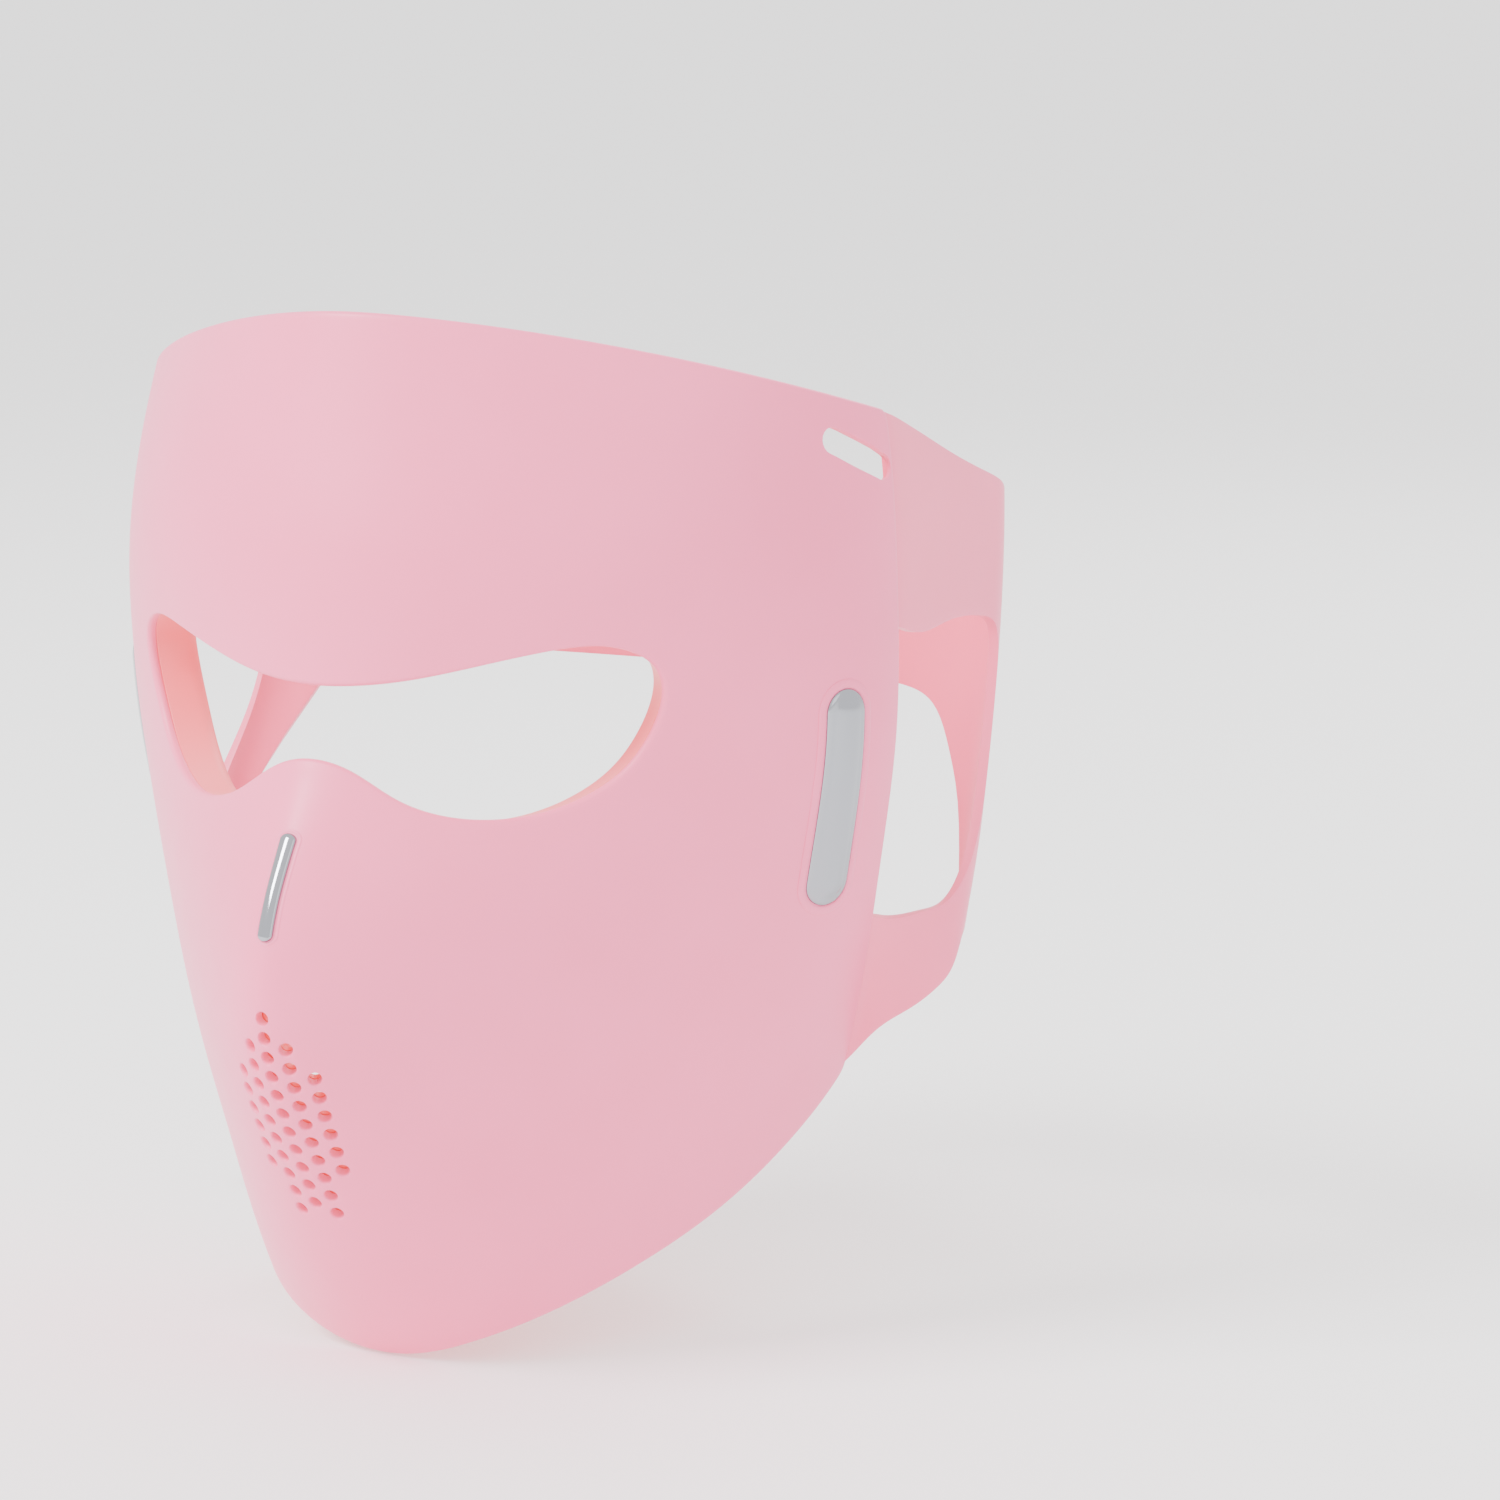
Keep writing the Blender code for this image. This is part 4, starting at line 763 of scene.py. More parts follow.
# A domed pill on the face: a disc grid of rings whose outline is a stadium, with a rounded edge.
def makeTrim(name, t, settings, node):
    middle = settings["height"] * faceHeight
    rise = np.linalg.norm(facePoint(t, middle + 1) - facePoint(t, middle - 1)) / 2
    run = np.linalg.norm(facePoint(t + 0.01, middle) - facePoint(t - 0.01, middle)) / 0.02
    outline = stadium(settings["width"], settings["length"], 24)
    proud = settings["proud"]
    dome = 0.06 * settings["width"]
    edge = 0.16 * settings["width"]
    rings = []
    for share in np.linspace(0.0, 1.0, 12)[1:]:
        rings.append((share * (1 - edge / (settings["width"] / 2)), proud + dome * (1 - share**2)))
    for angle in np.linspace(0, math.pi / 2, 6)[1:]:
        inset = edge * (1 - math.sin(angle)) / (settings["width"] / 2)
        rings.append((1 - inset, proud * math.cos(angle)))
    rings.append((1.0, -1.0))
    points = []
    radius = settings["width"] / 2
    spine = np.clip(outline[:, 1], radius - settings["length"] / 2, settings["length"] / 2 - radius)
    for share, level in rings:
        x = outline[:, 0] * share
        y = spine + (outline[:, 1] - spine) * share
        points.append(underFace(t + x / run, middle + y / rise, np.full(len(x), -level)))
    columns = len(outline)
    faces = gridFaces(len(rings), columns, False, True).tolist()
    faces += mirroredCap(0, columns, True) + mirroredCap((len(rings) - 1) * columns, columns, False)
    made = newPiece(name, np.array(points), faces, chrome, "mask", "trim_chrome", [node], 50)
    turnOut(made.data)
    lip = settings["lip"]
    reach = settings["lipGap"] + lip / 2
    path = stadium(settings["width"] + 2 * reach, settings["length"] + 2 * reach, 24)
    turns = np.linspace(0, 2 * math.pi, 17)[:-1]
    bead = np.stack([lip / 2 * 1.3 * np.cos(turns), -0.22 * lip * np.sin(turns) + 0.02], 1)
    bead[:, 1] = np.where(bead[:, 1] > 0, bead[:, 1] * 3, bead[:, 1])
    sweptStrip(name + "_lip", t + path[:, 0] / run, middle + path[:, 1] / rise, bead, True, material=shellPink,
               body="mask", slotName="shell_silicone")


makeTrim("nose_bar", 0.0, trims["nose"], "nose_trim")
makeTrim("cheek_pill_left", trims["cheek"]["t"], trims["cheek"], "cheek_trim_left")
makeTrim("cheek_pill_right", -trims["cheek"]["t"], trims["cheek"], "cheek_trim_right")

print("stage: frame")

inside = {
    "cushionWidth": 7.2, "cushionHeight": 9.0, "ribWidth": 4.4, "ribHeight": 4.2,
    "ringWidth": 3.4, "ringHalfWidth": 16.0, "ringHalfHeight": 32.0,
    "islandWall": 1.6, "islandGap": 1.4, "touch": 0.3,
    "boardWall": 0.8, "lensGap": 0.9, "lensWall": 1.5,
}
layerTop = face["wall"] + face["layerGap"]
boardBack = layerTop + inside["boardWall"]
lensTop = boardBack + inside["lensGap"]
lensBack = lensTop + inside["lensWall"]
bridgeDown = face["eye"][-1][1] * faceHeight
browUp = face["eye"][0][1] * faceHeight


def makeFrame():
    half = rimShape["width"] / 2
    bottom = layerTop + rimShape["height"]
    profile = rounded([
        (-half, layerTop - 0.5, 0.3), (half, layerTop - 0.5, 0.3), (half, bottom - 0.6, 1.6), (half - 2.4, bottom, 1.4),
        (0.3, bottom - 1.7, 0.8), (-0.3, bottom - 1.7, 0.8), (2.4 - half, bottom, 1.4), (-half, bottom - 0.6, 1.6),
    ], 6)
    loop = edgeLoop(rimShape["inset"], 420)
    sweptStrip("rim", loop[:, 0], loop[:, 1], profile, True, material=frameCoral, body="mask",
               slotName="frame_silicone", nodes=["rim_frame"])

    outline = eyeOutline(360)
    width = inside["cushionWidth"]
    bottom = layerTop + inside["cushionHeight"]
    profile = rounded([
        (0.1, face["wall"] - 0.3, 0.2), (0.35, bottom - 2.2, 2.4), (1.9, bottom + 0.1, 1.6), (4.4, bottom - 0.7, 2.6),
        (width - 0.1, bottom - 4.2, 2.8), (width, layerTop - 0.4, 0.5),
    ], 7)
    t = tOf(outline[:, 0], outline[:, 1])
    sweptStrip("eye_seal", t, outline[:, 1], profile, True, material=cushionCoral, body="mask",
               slotName="frame_silicone", nodes=["eye_cushion"])

    ringX = inside["ringHalfWidth"] - inside["ringWidth"] / 2
    ringZ = inside["ringHalfHeight"] - inside["ringWidth"] / 2
    turns = np.linspace(0, 2 * math.pi, 181)[:-1]
    half = inside["ringWidth"] / 2
    bottom = layerTop + inside["ribHeight"]
    ridge = rounded([(-half, layerTop - 0.5, 0.2), (half, layerTop - 0.5, 0.2), (half, bottom - 1.2, 1.0),
                     (0.0, bottom + 0.1, 1.4), (-half, bottom - 1.2, 1.0)], 6)
    z = ventMiddle + ringZ * np.cos(turns)
    sweptStrip("vent_collar", tOf(ringX * np.sin(turns), z), z, ridge, True, material=frameCoral, body="mask",
               slotName="frame_silicone", nodes=["vent_ring"])

    half = inside["ribWidth"] / 2
    top = layerTop + face["layerGap"]
    ridge = rounded([(-half, top, 0.2), (half, top, 0.2), (half, bottom - 1.2, 1.0), (0.0, bottom + 0.1, 1.4),
                     (-half, bottom - 1.2, 1.0)], 6)
    rimReach = rimShape["inset"] + rimShape["width"] / 2 + inside["touch"]
    stretches = {
        "forehead_rib": (browUp + width, faceHeight - rimReach + 0.6),
        "nose_rib": (ventMiddle + inside["ringHalfHeight"] - 0.6, bridgeDown - width),
        "chin_rib": (rimReach + 0.8, ventMiddle - inside["ringHalfHeight"] + 0.6),
    }
    for node, (low, high) in stretches.items():
        z = np.linspace(low, high, 40)
        sweptStrip(node.replace("_rib", "_spine"), np.zeros(40), z, ridge, False, material=frameCoral, body="mask",
                   slotName="frame_silicone", nodes=[node])


# A skin of a given wall on a (t, z) grid, closed at its rim by a straight wall.
def skinGrid(t, z, depth, wall):
    top = underFace(t, z, np.full(t.shape, depth))
    low = underFace(t, z, np.full(t.shape, depth + wall))
    rows, columns = t.shape
    points = np.concatenate([top.reshape(-1, 3), low.reshape(-1, 3)])
    upper = gridFaces(rows, columns)
    lower = gridFaces(rows, columns, start=rows * columns)[:, ::-1]
    border = np.concatenate([
        np.arange(columns), np.arange(1, rows) * columns + columns - 1,
        (rows - 1) * columns + np.arange(columns - 2, -1, -1), np.arange(rows - 2, 0, -1) * columns])
    after = np.roll(border, -1)
    walls = np.stack([border, after, after + rows * columns, border + rows * columns], 1)
    return points, np.concatenate([upper, lower, walls])


def makeIsland():
    width = inside["ringHalfWidth"] - inside["ringWidth"] - 0.3
    height = inside["ringHalfHeight"] - inside["ringWidth"] - 0.3
    v, u = np.meshgrid(np.sin(np.linspace(-0.49, 0.49, 61) * math.pi), np.linspace(-1, 1, 31), indexing="ij")
    z = ventMiddle + height * v
    points, faces = skinGrid(tOf(width * np.sqrt(1 - v**2) * u, z), z, layerTop, inside["islandWall"])
    made = newPiece("vent_grille", points, faces, frameCoral, None, "frame_silicone", ["vent_island"])
    turnOut(made.data)
    cutAway(made, [ventCutter("islandCutter", layerTop - 0.5, layerTop + inside["islandWall"] + 3.0)])
    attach(made, "mask")


makeFrame()
makeIsland()

print("stage: linings and lights")

lining = {
    "windowRadius": 4.4, "margin": 0.5, "noseClear": 4.0,
    "latticeDown": (6.4, -9.5), "latticeOut": (10.8, 8.5),
    "spots": ((0.115, 0.468), (0.162, 0.416), (0.167, 0.122), (0.815, 0.578), (0.83, 0.655), (0.822, 0.734),
              (0.755, 0.8), (0.185, 0.765), (0.33, 0.806), (0.5, 0.828), (0.14, 0.865), (0.29, 0.9),
              (0.62, 0.868)),
    "posts": ((0.361, 0.772), (0.095, 0.089)),
    "rows": 190, "columns": 44, "glowReach": 9.5,
}


def ringPolygon(radius, count, turn=0.0):
    angles = turn + 2 * math.pi * np.arange(count) / count
    return radius * np.stack([np.cos(angles), np.sin(angles)], 1)


# The panel's inner border, round the eye and the vent ring, and its outer border by the rim.
def panelBorders():
    outline = eyeOutline(240)[:121]
    tangent = np.gradient(outline, axis=0)
    tangent /= np.linalg.norm(tangent, axis=1, keepdims=True)
    aroundEye = outline + np.stack([-tangent[:, 1], tangent[:, 0]], 1) * (
        inside["cushionWidth"] + rimShape["panelGap"])
    clear = inside["ribWidth"] / 2 + rimShape["panelGap"]
    upper = aroundEye[(aroundEye[:, 0] > clear) & (np.arange(121) <= aroundEye[:, 1].argmin())]
    turns = np.linspace(0.32 * math.pi, 0.93 * math.pi, 14)
    roundRing = np.stack([
        (inside["ringHalfWidth"] + rimShape["panelGap"]) * np.sin(turns),
        ventMiddle + (inside["ringHalfHeight"] + rimShape["panelGap"]) * np.cos(turns)], 1)
    noseSide = np.array([
        (clear + 1.6 * lining["noseClear"], 0.52 * faceHeight), (clear + lining["noseClear"], 0.485 * faceHeight),
        (clear + lining["noseClear"], 0.43 * faceHeight)])
    inner = np.concatenate([upper, noseSide, roundRing])
    inner = inner[inner[:, 0] >= clear]
    loop = edgeLoop(rimShape["inset"] + rimShape["width"] / 2 + rimShape["panelGap"], 480)
    outer = loop[facePoint(loop[:, 0], loop[:, 1])[:, 0] >= clear]
    outer = outer[np.argsort(-np.unwrap(np.arctan2(outer[:, 1] - 0.5 * faceHeight, outer[:, 0] * 60)))]
    return np.stack([tOf(inner[:, 0], inner[:, 1]), inner[:, 1]], 1), outer


def panelGrid(rows, columns):
    inner, outer = panelBorders()
    scale = np.array([arcScale, 1.0])
    inner = along(inner * scale, rows)
    outer = along(outer * scale, rows)
    share = np.linspace(0, 1, columns)[None, :, None]
    grid = (inner[:, None] * (1 - share) + outer[:, None] * share) / scale
    return grid[..., 0], grid[..., 1]


def distanceTo(line, point):
    run = line[1:] - line[:-1]
    share = ((point - line[:-1]) * run).sum(1) / np.maximum((run**2).sum(1), 1e-9)
    near = line[:-1] + np.clip(share, 0, 1)[:, None] * run
    return np.linalg.norm(near - point, axis=1).min()


def insidePolygon(corners, point):
    after = np.roll(corners, -1, axis=0)
    crosses = (corners[:, 1] > point[1]) != (after[:, 1] > point[1])
    rise = np.where(after[:, 1] == corners[:, 1], 1e-9, after[:, 1] - corners[:, 1])
    where = corners[:, 0] + (point[1] - corners[:, 1]) * (after[:, 0] - corners[:, 0]) / rise
    return (crosses & (where > point[0])).sum() % 2 == 1


# The cheek's slanted lattice and the single spots, kept where a whole window fits on the panel.
def lightPlaces():
    start = np.array([0.483 * halfWidth, 0.4745 * faceHeight])
    wanted = []
    for out in range(-4, 3):
        for down in range(3 if out == -4 else 0, 5):
            wanted.append(start + np.array(lining["latticeOut"]) * out + np.array(lining["latticeDown"]) * down)
    wanted += [np.array([x * halfWidth, z * faceHeight]) for x, z in lining["spots"]]
    inner, outer = panelBorders()
    ring = np.concatenate([inner, outer[::-1]])
    closed = np.concatenate([ring, ring[:1]])
    border = facePoint(closed[:, 0], closed[:, 1])
    places = []
    for x, z in wanted:
        t = float(tOf(x, z))
        fits = distanceTo(border, facePoint(t, z)) > lining["windowRadius"] + lining["margin"]
        if fits and abs(t) < 1 and insidePolygon(ring, (t, z)):
            places.append((t, float(z)))
    return places


def giveGlow(made, centres):
    spots = np.empty(len(made.data.vertices) * 3)
    made.data.vertices.foreach_get("co", spots)
    gaps = np.linalg.norm(spots.reshape(-1, 1, 3) / mm - np.array(centres)[None], axis=2)
    glow = np.clip(1.1 * np.exp(-(gaps / lining["glowReach"])**2).sum(1), 0, 1)
    made.data.attributes.new("glow", "FLOAT", "POINT").data.foreach_set("value", glow.astype(np.float32))


# A closed form from stacked outlines, capped at both ends.
def stackPiece(name, stacks, material, body, nodes=(), sharp=38):
    made = cutterFrom(name, stacks)
    mesh = made.data
    mesh.shade_smooth()
    mesh.set_sharp_from_angle(angle=math.radians(sharp))
    mesh.materials.append(material)
    if body:
        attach(made, body)
    if nodes:
        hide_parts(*nodes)
    return made


def makePanels():
    places = lightPlaces()
    posts = [(float(tOf(x * halfWidth, z * faceHeight)), z * faceHeight) for x, z in lining["posts"]]
    print(f"lights on each side: {len(places)}")
    t, z = panelGrid(lining["rows"], lining["columns"])
    for side, label in ((1, "left"), (-1, "right")):
        frames = [localFrame(side * a, b) for a, b in places]
        postFrames = [localFrame(side * a, b) for a, b in posts]
        centres = [origin - axes[:, 2] * boardBack for axes, origin in frames]
        points, faces = skinGrid(side * t, z, lensTop, inside["lensWall"])
        sheet = newPiece("lining_" + label, points, faces, liningCoral, None, "lens_silicone", ["lens_" + label])
        turnOut(sheet.data)
        hexagon = ringPolygon(lining["windowRadius"], 6, math.pi / 6)
        levels = [(-lensBack - 2, 1.0), (-lensBack, 0.45), (-lensBack + 0.5, 0.0), (-lensTop + 2, 0.0)]
        windows = cutterFrom("windows", [flaredRings(hexagon, levels, spot) for spot in frames])
        holes = cutterFrom("holes", [
            flaredRings(ringPolygon(1.7, 16), [(-lensBack - 2, 0), (-lensTop + 2, 0)], spot) for spot in postFrames])
        cutAway(sheet, [windows, holes])
        giveGlow(sheet, centres)
        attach(sheet, "mask")

        points, faces = skinGrid(side * t[::2], z[::2], layerTop, inside["boardWall"])
        board = newPiece("circuit_" + label, points, faces, boardRed, "mask", "led_board", ["led_board_" + label])
        turnOut(board.data)
        giveGlow(board, centres)

        square = np.array(rounded([(-2.5, -2.5, 0.5), (2.5, -2.5, 0.5), (2.5, 2.5, 0.5), (-2.5, 2.5, 0.5)], 3))
        base = [(-boardBack + 0.1, 0.0), (-boardBack - 0.85, 0.0), (-boardBack - 1.0, -0.15)]
        stackPiece("lamps_" + label, [flaredRings(square, base, spot) for spot in frames], lampWhite, "mask")
        disc = ringPolygon(1.75, 16)
        dome = [(-boardBack - 0.8, 0.0), (-boardBack - 1.02, 0.0), (-boardBack - 1.09, -0.7), (-boardBack - 1.1, -1.4)]
        stackPiece("emitters_" + label, [flaredRings(disc, dome, spot) for spot in frames], lampGlow, "mask")
        dots = []
        for axes, origin in frames:
            for x, y in ((-2.9, -1.3), (-2.9, 1.3), (2.9, -1.3), (2.9, 1.3)):
                moved = origin + axes[:, 0] * x + axes[:, 1] * y
                bead = [(-boardBack + 0.1, 0.0), (-boardBack - 0.25, -0.05), (-boardBack - 0.4, -0.3)]
                dots.append(flaredRings(ringPolygon(0.55, 8), bead, (axes, moved)))
        stackPiece("solder_" + label, dots, solderSilver, "mask")

        for number, spot in enumerate(postFrames):
            top = -(layerTop + inside["touch"])
            head = -(lensBack + 1.4)
            levels = [(top, -1.3), (head + 0.2, -1.3), (head, -0.9), (head - 0.1, -0.2), (head - 0.5, 0.0),
                      (head - 0.85, -0.25), (head - 1.15, -0.9), (head - 1.3, -1.7)]
            stackPiece(f"stud_{label}_{number + 1}", [flaredRings(ringPolygon(2.6, 24), levels, spot)], frameCoral,
                       "mask", [f"snap_post_{label}_{number + 1}"])


makePanels()

print("stage: straps")

strap = {
    "fold": ((0.3, 1.12, 0.155), (0.357, 1.115, 0.175), (0.46, 1.1, 0.285), (0.536, 1.07, 0.385),
             (0.668, 1.04, 0.49), (0.8, 1.01, 0.56), (0.91, 0.98, 0.59)),
    "top": ((0.25, 0.876), (0.5, 0.851), (0.75, 0.83), (0.92, 0.813), (1.0, 0.8)),
    "bottom": ((0.0, 0.264), (0.2, 0.296), (0.5, 0.321), (0.8, 0.347), (0.93, 0.366), (1.02, 0.4), (1.07, 0.447),
               (1.1, 0.502)),
    "ear": ((0.0, 0.417), (0.12, 0.414), (0.5, 0.419), (0.75, 0.434), (0.88, 0.468), (0.94, 0.519), (0.955, 0.579),
            (0.93, 0.638), (0.86, 0.677), (0.7, 0.694), (0.4, 0.696), (0.15, 0.692), (0.0, 0.702)),
    "bendReach": 13.0, "bandDepth": 65.0, "bandHeight": 33.0, "bandMiddle": 159.5,
    "tabReach": 71.0, "underlap": 5.0, "wall": 2.2,
    "padWall": 0.8, "padHeight": 20.0, "padGap": 0.3, "slack": 0.7,
    "patchWall": 1.2, "patchHeight": 26.0, "patchReach": 74.0,
}
foldRows = np.array(strap["fold"])
foldSpline = naturalSpline(foldRows[:, 0] * faceHeight, foldRows[:, 1:] * [halfWidth, faceDepth])
bandLow = strap["bandMiddle"] - strap["bandHeight"] / 2
bandHigh = strap["bandMiddle"] + strap["bandHeight"] / 2
tabLift = strap["wall"] + 2 * strap["padWall"] + 3 * strap["padGap"] + strap["slack"]


# Level lines of the strap for many heights at once: straight side, bend over the fold, long curve behind.
def strapLines(z):
    start = facePoint(np.ones_like(z), z)[:, :2]
    corner = foldSpline(np.clip(z, foldRows[0, 0] * faceHeight, foldRows[-1, 0] * faceHeight))
    back = np.array([0.0, strap["bandDepth"]])
    aim = np.stack([0.45 * corner[:, 0], np.full(len(z), strap["bandDepth"])], 1)
    towardFace = (start - corner) / np.linalg.norm(start - corner, axis=1, keepdims=True)
    towardBack = (aim - corner) / np.linalg.norm(aim - corner, axis=1, keepdims=True)
    first = corner + towardFace * strap["bendReach"]
    second = corner + towardBack * strap["bendReach"]
    u = np.linspace(0, 1, 97)[None, :, None]
    start, corner, first, second, aim = (a[:, None] for a in (start, corner, first, second, aim))
    side = start + (first - start) * u
    bend = first * (1 - u)**2 + 2 * corner * u * (1 - u) + second * u**2
    rear = second * (1 - u)**2 + 2 * aim * u * (1 - u) + back * u**2
    line = np.concatenate([side, bend[:, 1:], rear[:, 1:]], 1)
    steps = np.linalg.norm(np.diff(line, axis=1), axis=2)
    lengths = np.concatenate([np.zeros((len(z), 1)), np.cumsum(steps, axis=1)], 1)
    return line, lengths, lengths[:, 144]


def onLine(line, lengths, where):
    where = np.clip(where, 0, lengths[:, -1])
    i = np.clip((lengths <= where[:, None]).sum(1) - 1, 0, lengths.shape[1] - 2)
    row = np.arange(len(where))
    share = (where - lengths[row, i]) / (lengths[row, i + 1] - lengths[row, i])
    return line[row, i] * (1 - share[:, None]) + line[row, i + 1] * share[:, None]


# s is 0 at the shell's edge, 1 at the fold and 2 at the middle of the back; z is the height.
def strapPoint(s, z, lift=0.0, inset=0.0):
    shape = np.broadcast(s, z, inset).shape
    s, z, inset = (np.broadcast_to(a, shape).astype(float).ravel() for a in (s, z, inset))
    line, lengths, foldLength = strapLines(z)
    own = np.minimum(s, 4 - s)
    where = np.where(own <= 1, own * foldLength, foldLength + (own - 1) * (lengths[:, -1] - foldLength))
    spot = onLine(line, lengths, where)
    ahead = np.minimum(where + 1.0, lengths[:, -1])
    behind = np.maximum(ahead - 2.0, 0)
    run = onLine(line, lengths, ahead) - onLine(line, lengths, behind)
    run /= np.linalg.norm(run, axis=1, keepdims=True)
    x = spot[:, 0] - run[:, 1] * inset
    y = spot[:, 1] + run[:, 0] * inset
    y = y + lift * smoothStep((s - 1.12) / 0.5)
    x = np.where(s > 2, -x, x)
    return np.stack([x, y, z], 1).reshape(*shape, 3)


def strapS(x):
    line, lengths, foldLength = strapLines(np.array([strap["bandMiddle"]]))
    rear = slice(192, None)
    own = np.interp(np.abs(x), line[0, rear, 0][::-1], lengths[0, rear][::-1])
    s = 1 + (own - foldLength[0]) / (lengths[0, -1] - foldLength[0])
    return np.where(np.asarray(x) >= 0, s, 4 - s)


def throughPoints(points, count=400):
    points = np.array(points, float)
    scaled = points * [100.0, 1.0]
    lengths = chordLengths(scaled)
    return naturalSpline(lengths, scaled)(np.linspace(0, lengths[-1], count)) / [100.0, 1.0]


def bakeModifiers(made, sharp=38):
    bpy.context.view_layer.update()
    kept = bpy.data.meshes.new_from_object(made.evaluated_get(bpy.context.evaluated_depsgraph_get()))
    made.modifiers.clear()
    made.data = kept
    kept.shade_smooth()
    kept.set_sharp_from_angle(angle=math.radians(sharp))


def thicken(made, wall, bevel):
    solid = made.modifiers.new("wall", "SOLIDIFY")
    solid.thickness = wall * mm
    solid.offset = -1
    soften = made.modifiers.new("soften", "BEVEL")
    soften.width = bevel * mm
    soften.segments = 3
    soften.limit_method = "ANGLE"
    soften.angle_limit = math.radians(60)
    bakeModifiers(made)


# The lower and upper arms run as separate rows to the ear opening's end and as one sheet after it.
def makeStrap(name, side, lift, endX, roundEnd, node):
    h = faceHeight
    rootTop = float(upperEdge(1.0)) - 0.6
    top = throughPoints([(0.0, rootTop)] + [(s, z * h) for s, z in strap["top"]] + [
        (1.15, bandHigh + 0.03 * h), (1.4, bandHigh + 0.0115 * h), (1.7, bandHigh + 0.002 * h), (1.9, bandHigh)])
    bottom = throughPoints([(s, z * h) for s, z in strap["bottom"]] + [
        (1.14, bandLow - 0.055 * h), (1.2, bandLow - 0.013 * h), (1.3, bandLow), (1.7, bandLow)])
    ear = throughPoints([(s, z * h) for s, z in strap["ear"]], 1200)
    tip = ear[:, 0].argmax()
    tipS, tipZ = ear[tip]
    arms = tipS * (1 - (1 - np.linspace(0, 1, 60))**2.4)
    if roundEnd:
        radius = strap["bandHeight"] / 2
        turns = np.linspace(0, 0.5 * math.pi, 22)
        endXs = endX + radius - radius * np.sin(turns)
        endS = strapS(endXs)
        band = np.concatenate([np.linspace(tipS, endS[0], 120)[1:], endS[1:]])
        halfEnd = np.concatenate([np.full(119, radius), radius * np.cos(turns[1:])])
    else:
        band = np.linspace(tipS, float(strapS(endX)), 90)[1:]
        halfEnd = np.full(89, strap["bandHeight"] / 2)
    s = np.concatenate([arms, band])
    highZ = np.minimum(np.interp(s, top[:, 0], top[:, 1]), strap["bandMiddle"] + np.concatenate(
        [np.full(60, 200.0), np.where(halfEnd < strap["bandHeight"] / 2, halfEnd, 200.0)]))
    lowZ = np.maximum(np.interp(s, bottom[:, 0], bottom[:, 1]), strap["bandMiddle"] - np.concatenate(
        [np.full(60, 200.0), np.where(halfEnd < strap["bandHeight"] / 2, halfEnd, 200.0)]))
    earLow = np.interp(arms, ear[:tip + 1, 0], ear[:tip + 1, 1])
    earHigh = np.interp(arms, ear[tip:, 0][::-1], ear[tip:, 1][::-1])
    drift = smoothStep((band - tipS) / 0.3)
    seam = tipZ * (1 - drift) + strap["bandMiddle"] * drift
    share = np.linspace(0, 1, 17)[None, :]
    lowerTop = np.concatenate([earLow, seam])[:, None]
    upperLow = np.concatenate([earHigh, seam])[:, None]
    lower = lowZ[:, None] * (1 - share) + lowerTop * share
    upper = upperLow * (1 - share) + highZ[:, None] * share
    wide = np.broadcast_to(s[:, None], lower.shape)
    near = np.maximum(1 - wide / 0.05, 0)
    points = []
    for z in (lower, upper):
        placed = strapPoint(wide, z, lift, 0.2 * near)
        placed[..., 1] -= 0.9 * near
        placed[..., 0] *= side
        points.append(placed.reshape(-1, 3))
    rows, columns = lower.shape
    faces = np.concatenate([gridFaces(rows, columns), gridFaces(rows, columns, start=rows * columns)])
    made = newPiece(name, np.concatenate(points), faces, strapPink, None, "strap_silicone", [node])
    turnOut(made.data)
    farthest = max(made.data.polygons, key=lambda polygon: polygon.center.y)
    if farthest.normal.y < 0:
        made.data.flip_normals()
    thicken(made, strap["wall"], 0.9)
    return made


# A pill on the strap: rings from its spine out to its rim, crowned, then down to its underside.
def makePill(name, side, lift, firstX, lastX, height, outer, wall, crown, edge, material, body, slotName, nodes=()):
    radius = height / 2
    length = firstX - lastX
    outline = stadium(height, length, 20)[:, ::-1] * [1, 1]
    spine = np.clip(outline[:, 0], radius - length / 2, length / 2 - radius)
    rings = [(share * (1 - edge / radius), outer - crown * share**2) for share in np.linspace(0, 1, 12)[1:]]
    low = outer - crown - wall
    for angle in np.linspace(0, math.pi / 2, 5)[1:]:
        rings.append((1 - edge / radius * (1 - math.sin(angle)), outer - crown - min(edge, wall) * (1 - math.cos(angle))))
    rings += [(1.0, low), (0.5, low)]
    middle = (firstX + lastX) / 2
    points = []
    for share, level in rings:
        x = middle + spine + (outline[:, 0] - spine) * share
        z = strap["bandMiddle"] + outline[:, 1] * share
        placed = strapPoint(strapS(x), z, lift, np.full(len(x), -level))
        placed[:, 0] *= side
        points.append(placed)
    columns = len(outline)
    faces = gridFaces(len(rings), columns, False, True).tolist()
    faces += mirroredCap(0, columns, True) + mirroredCap((len(rings) - 1) * columns, columns, False)
    made = newPiece(name, np.array(points), faces, material, body, slotName, nodes, 45)
    turnOut(made.data)
    return made


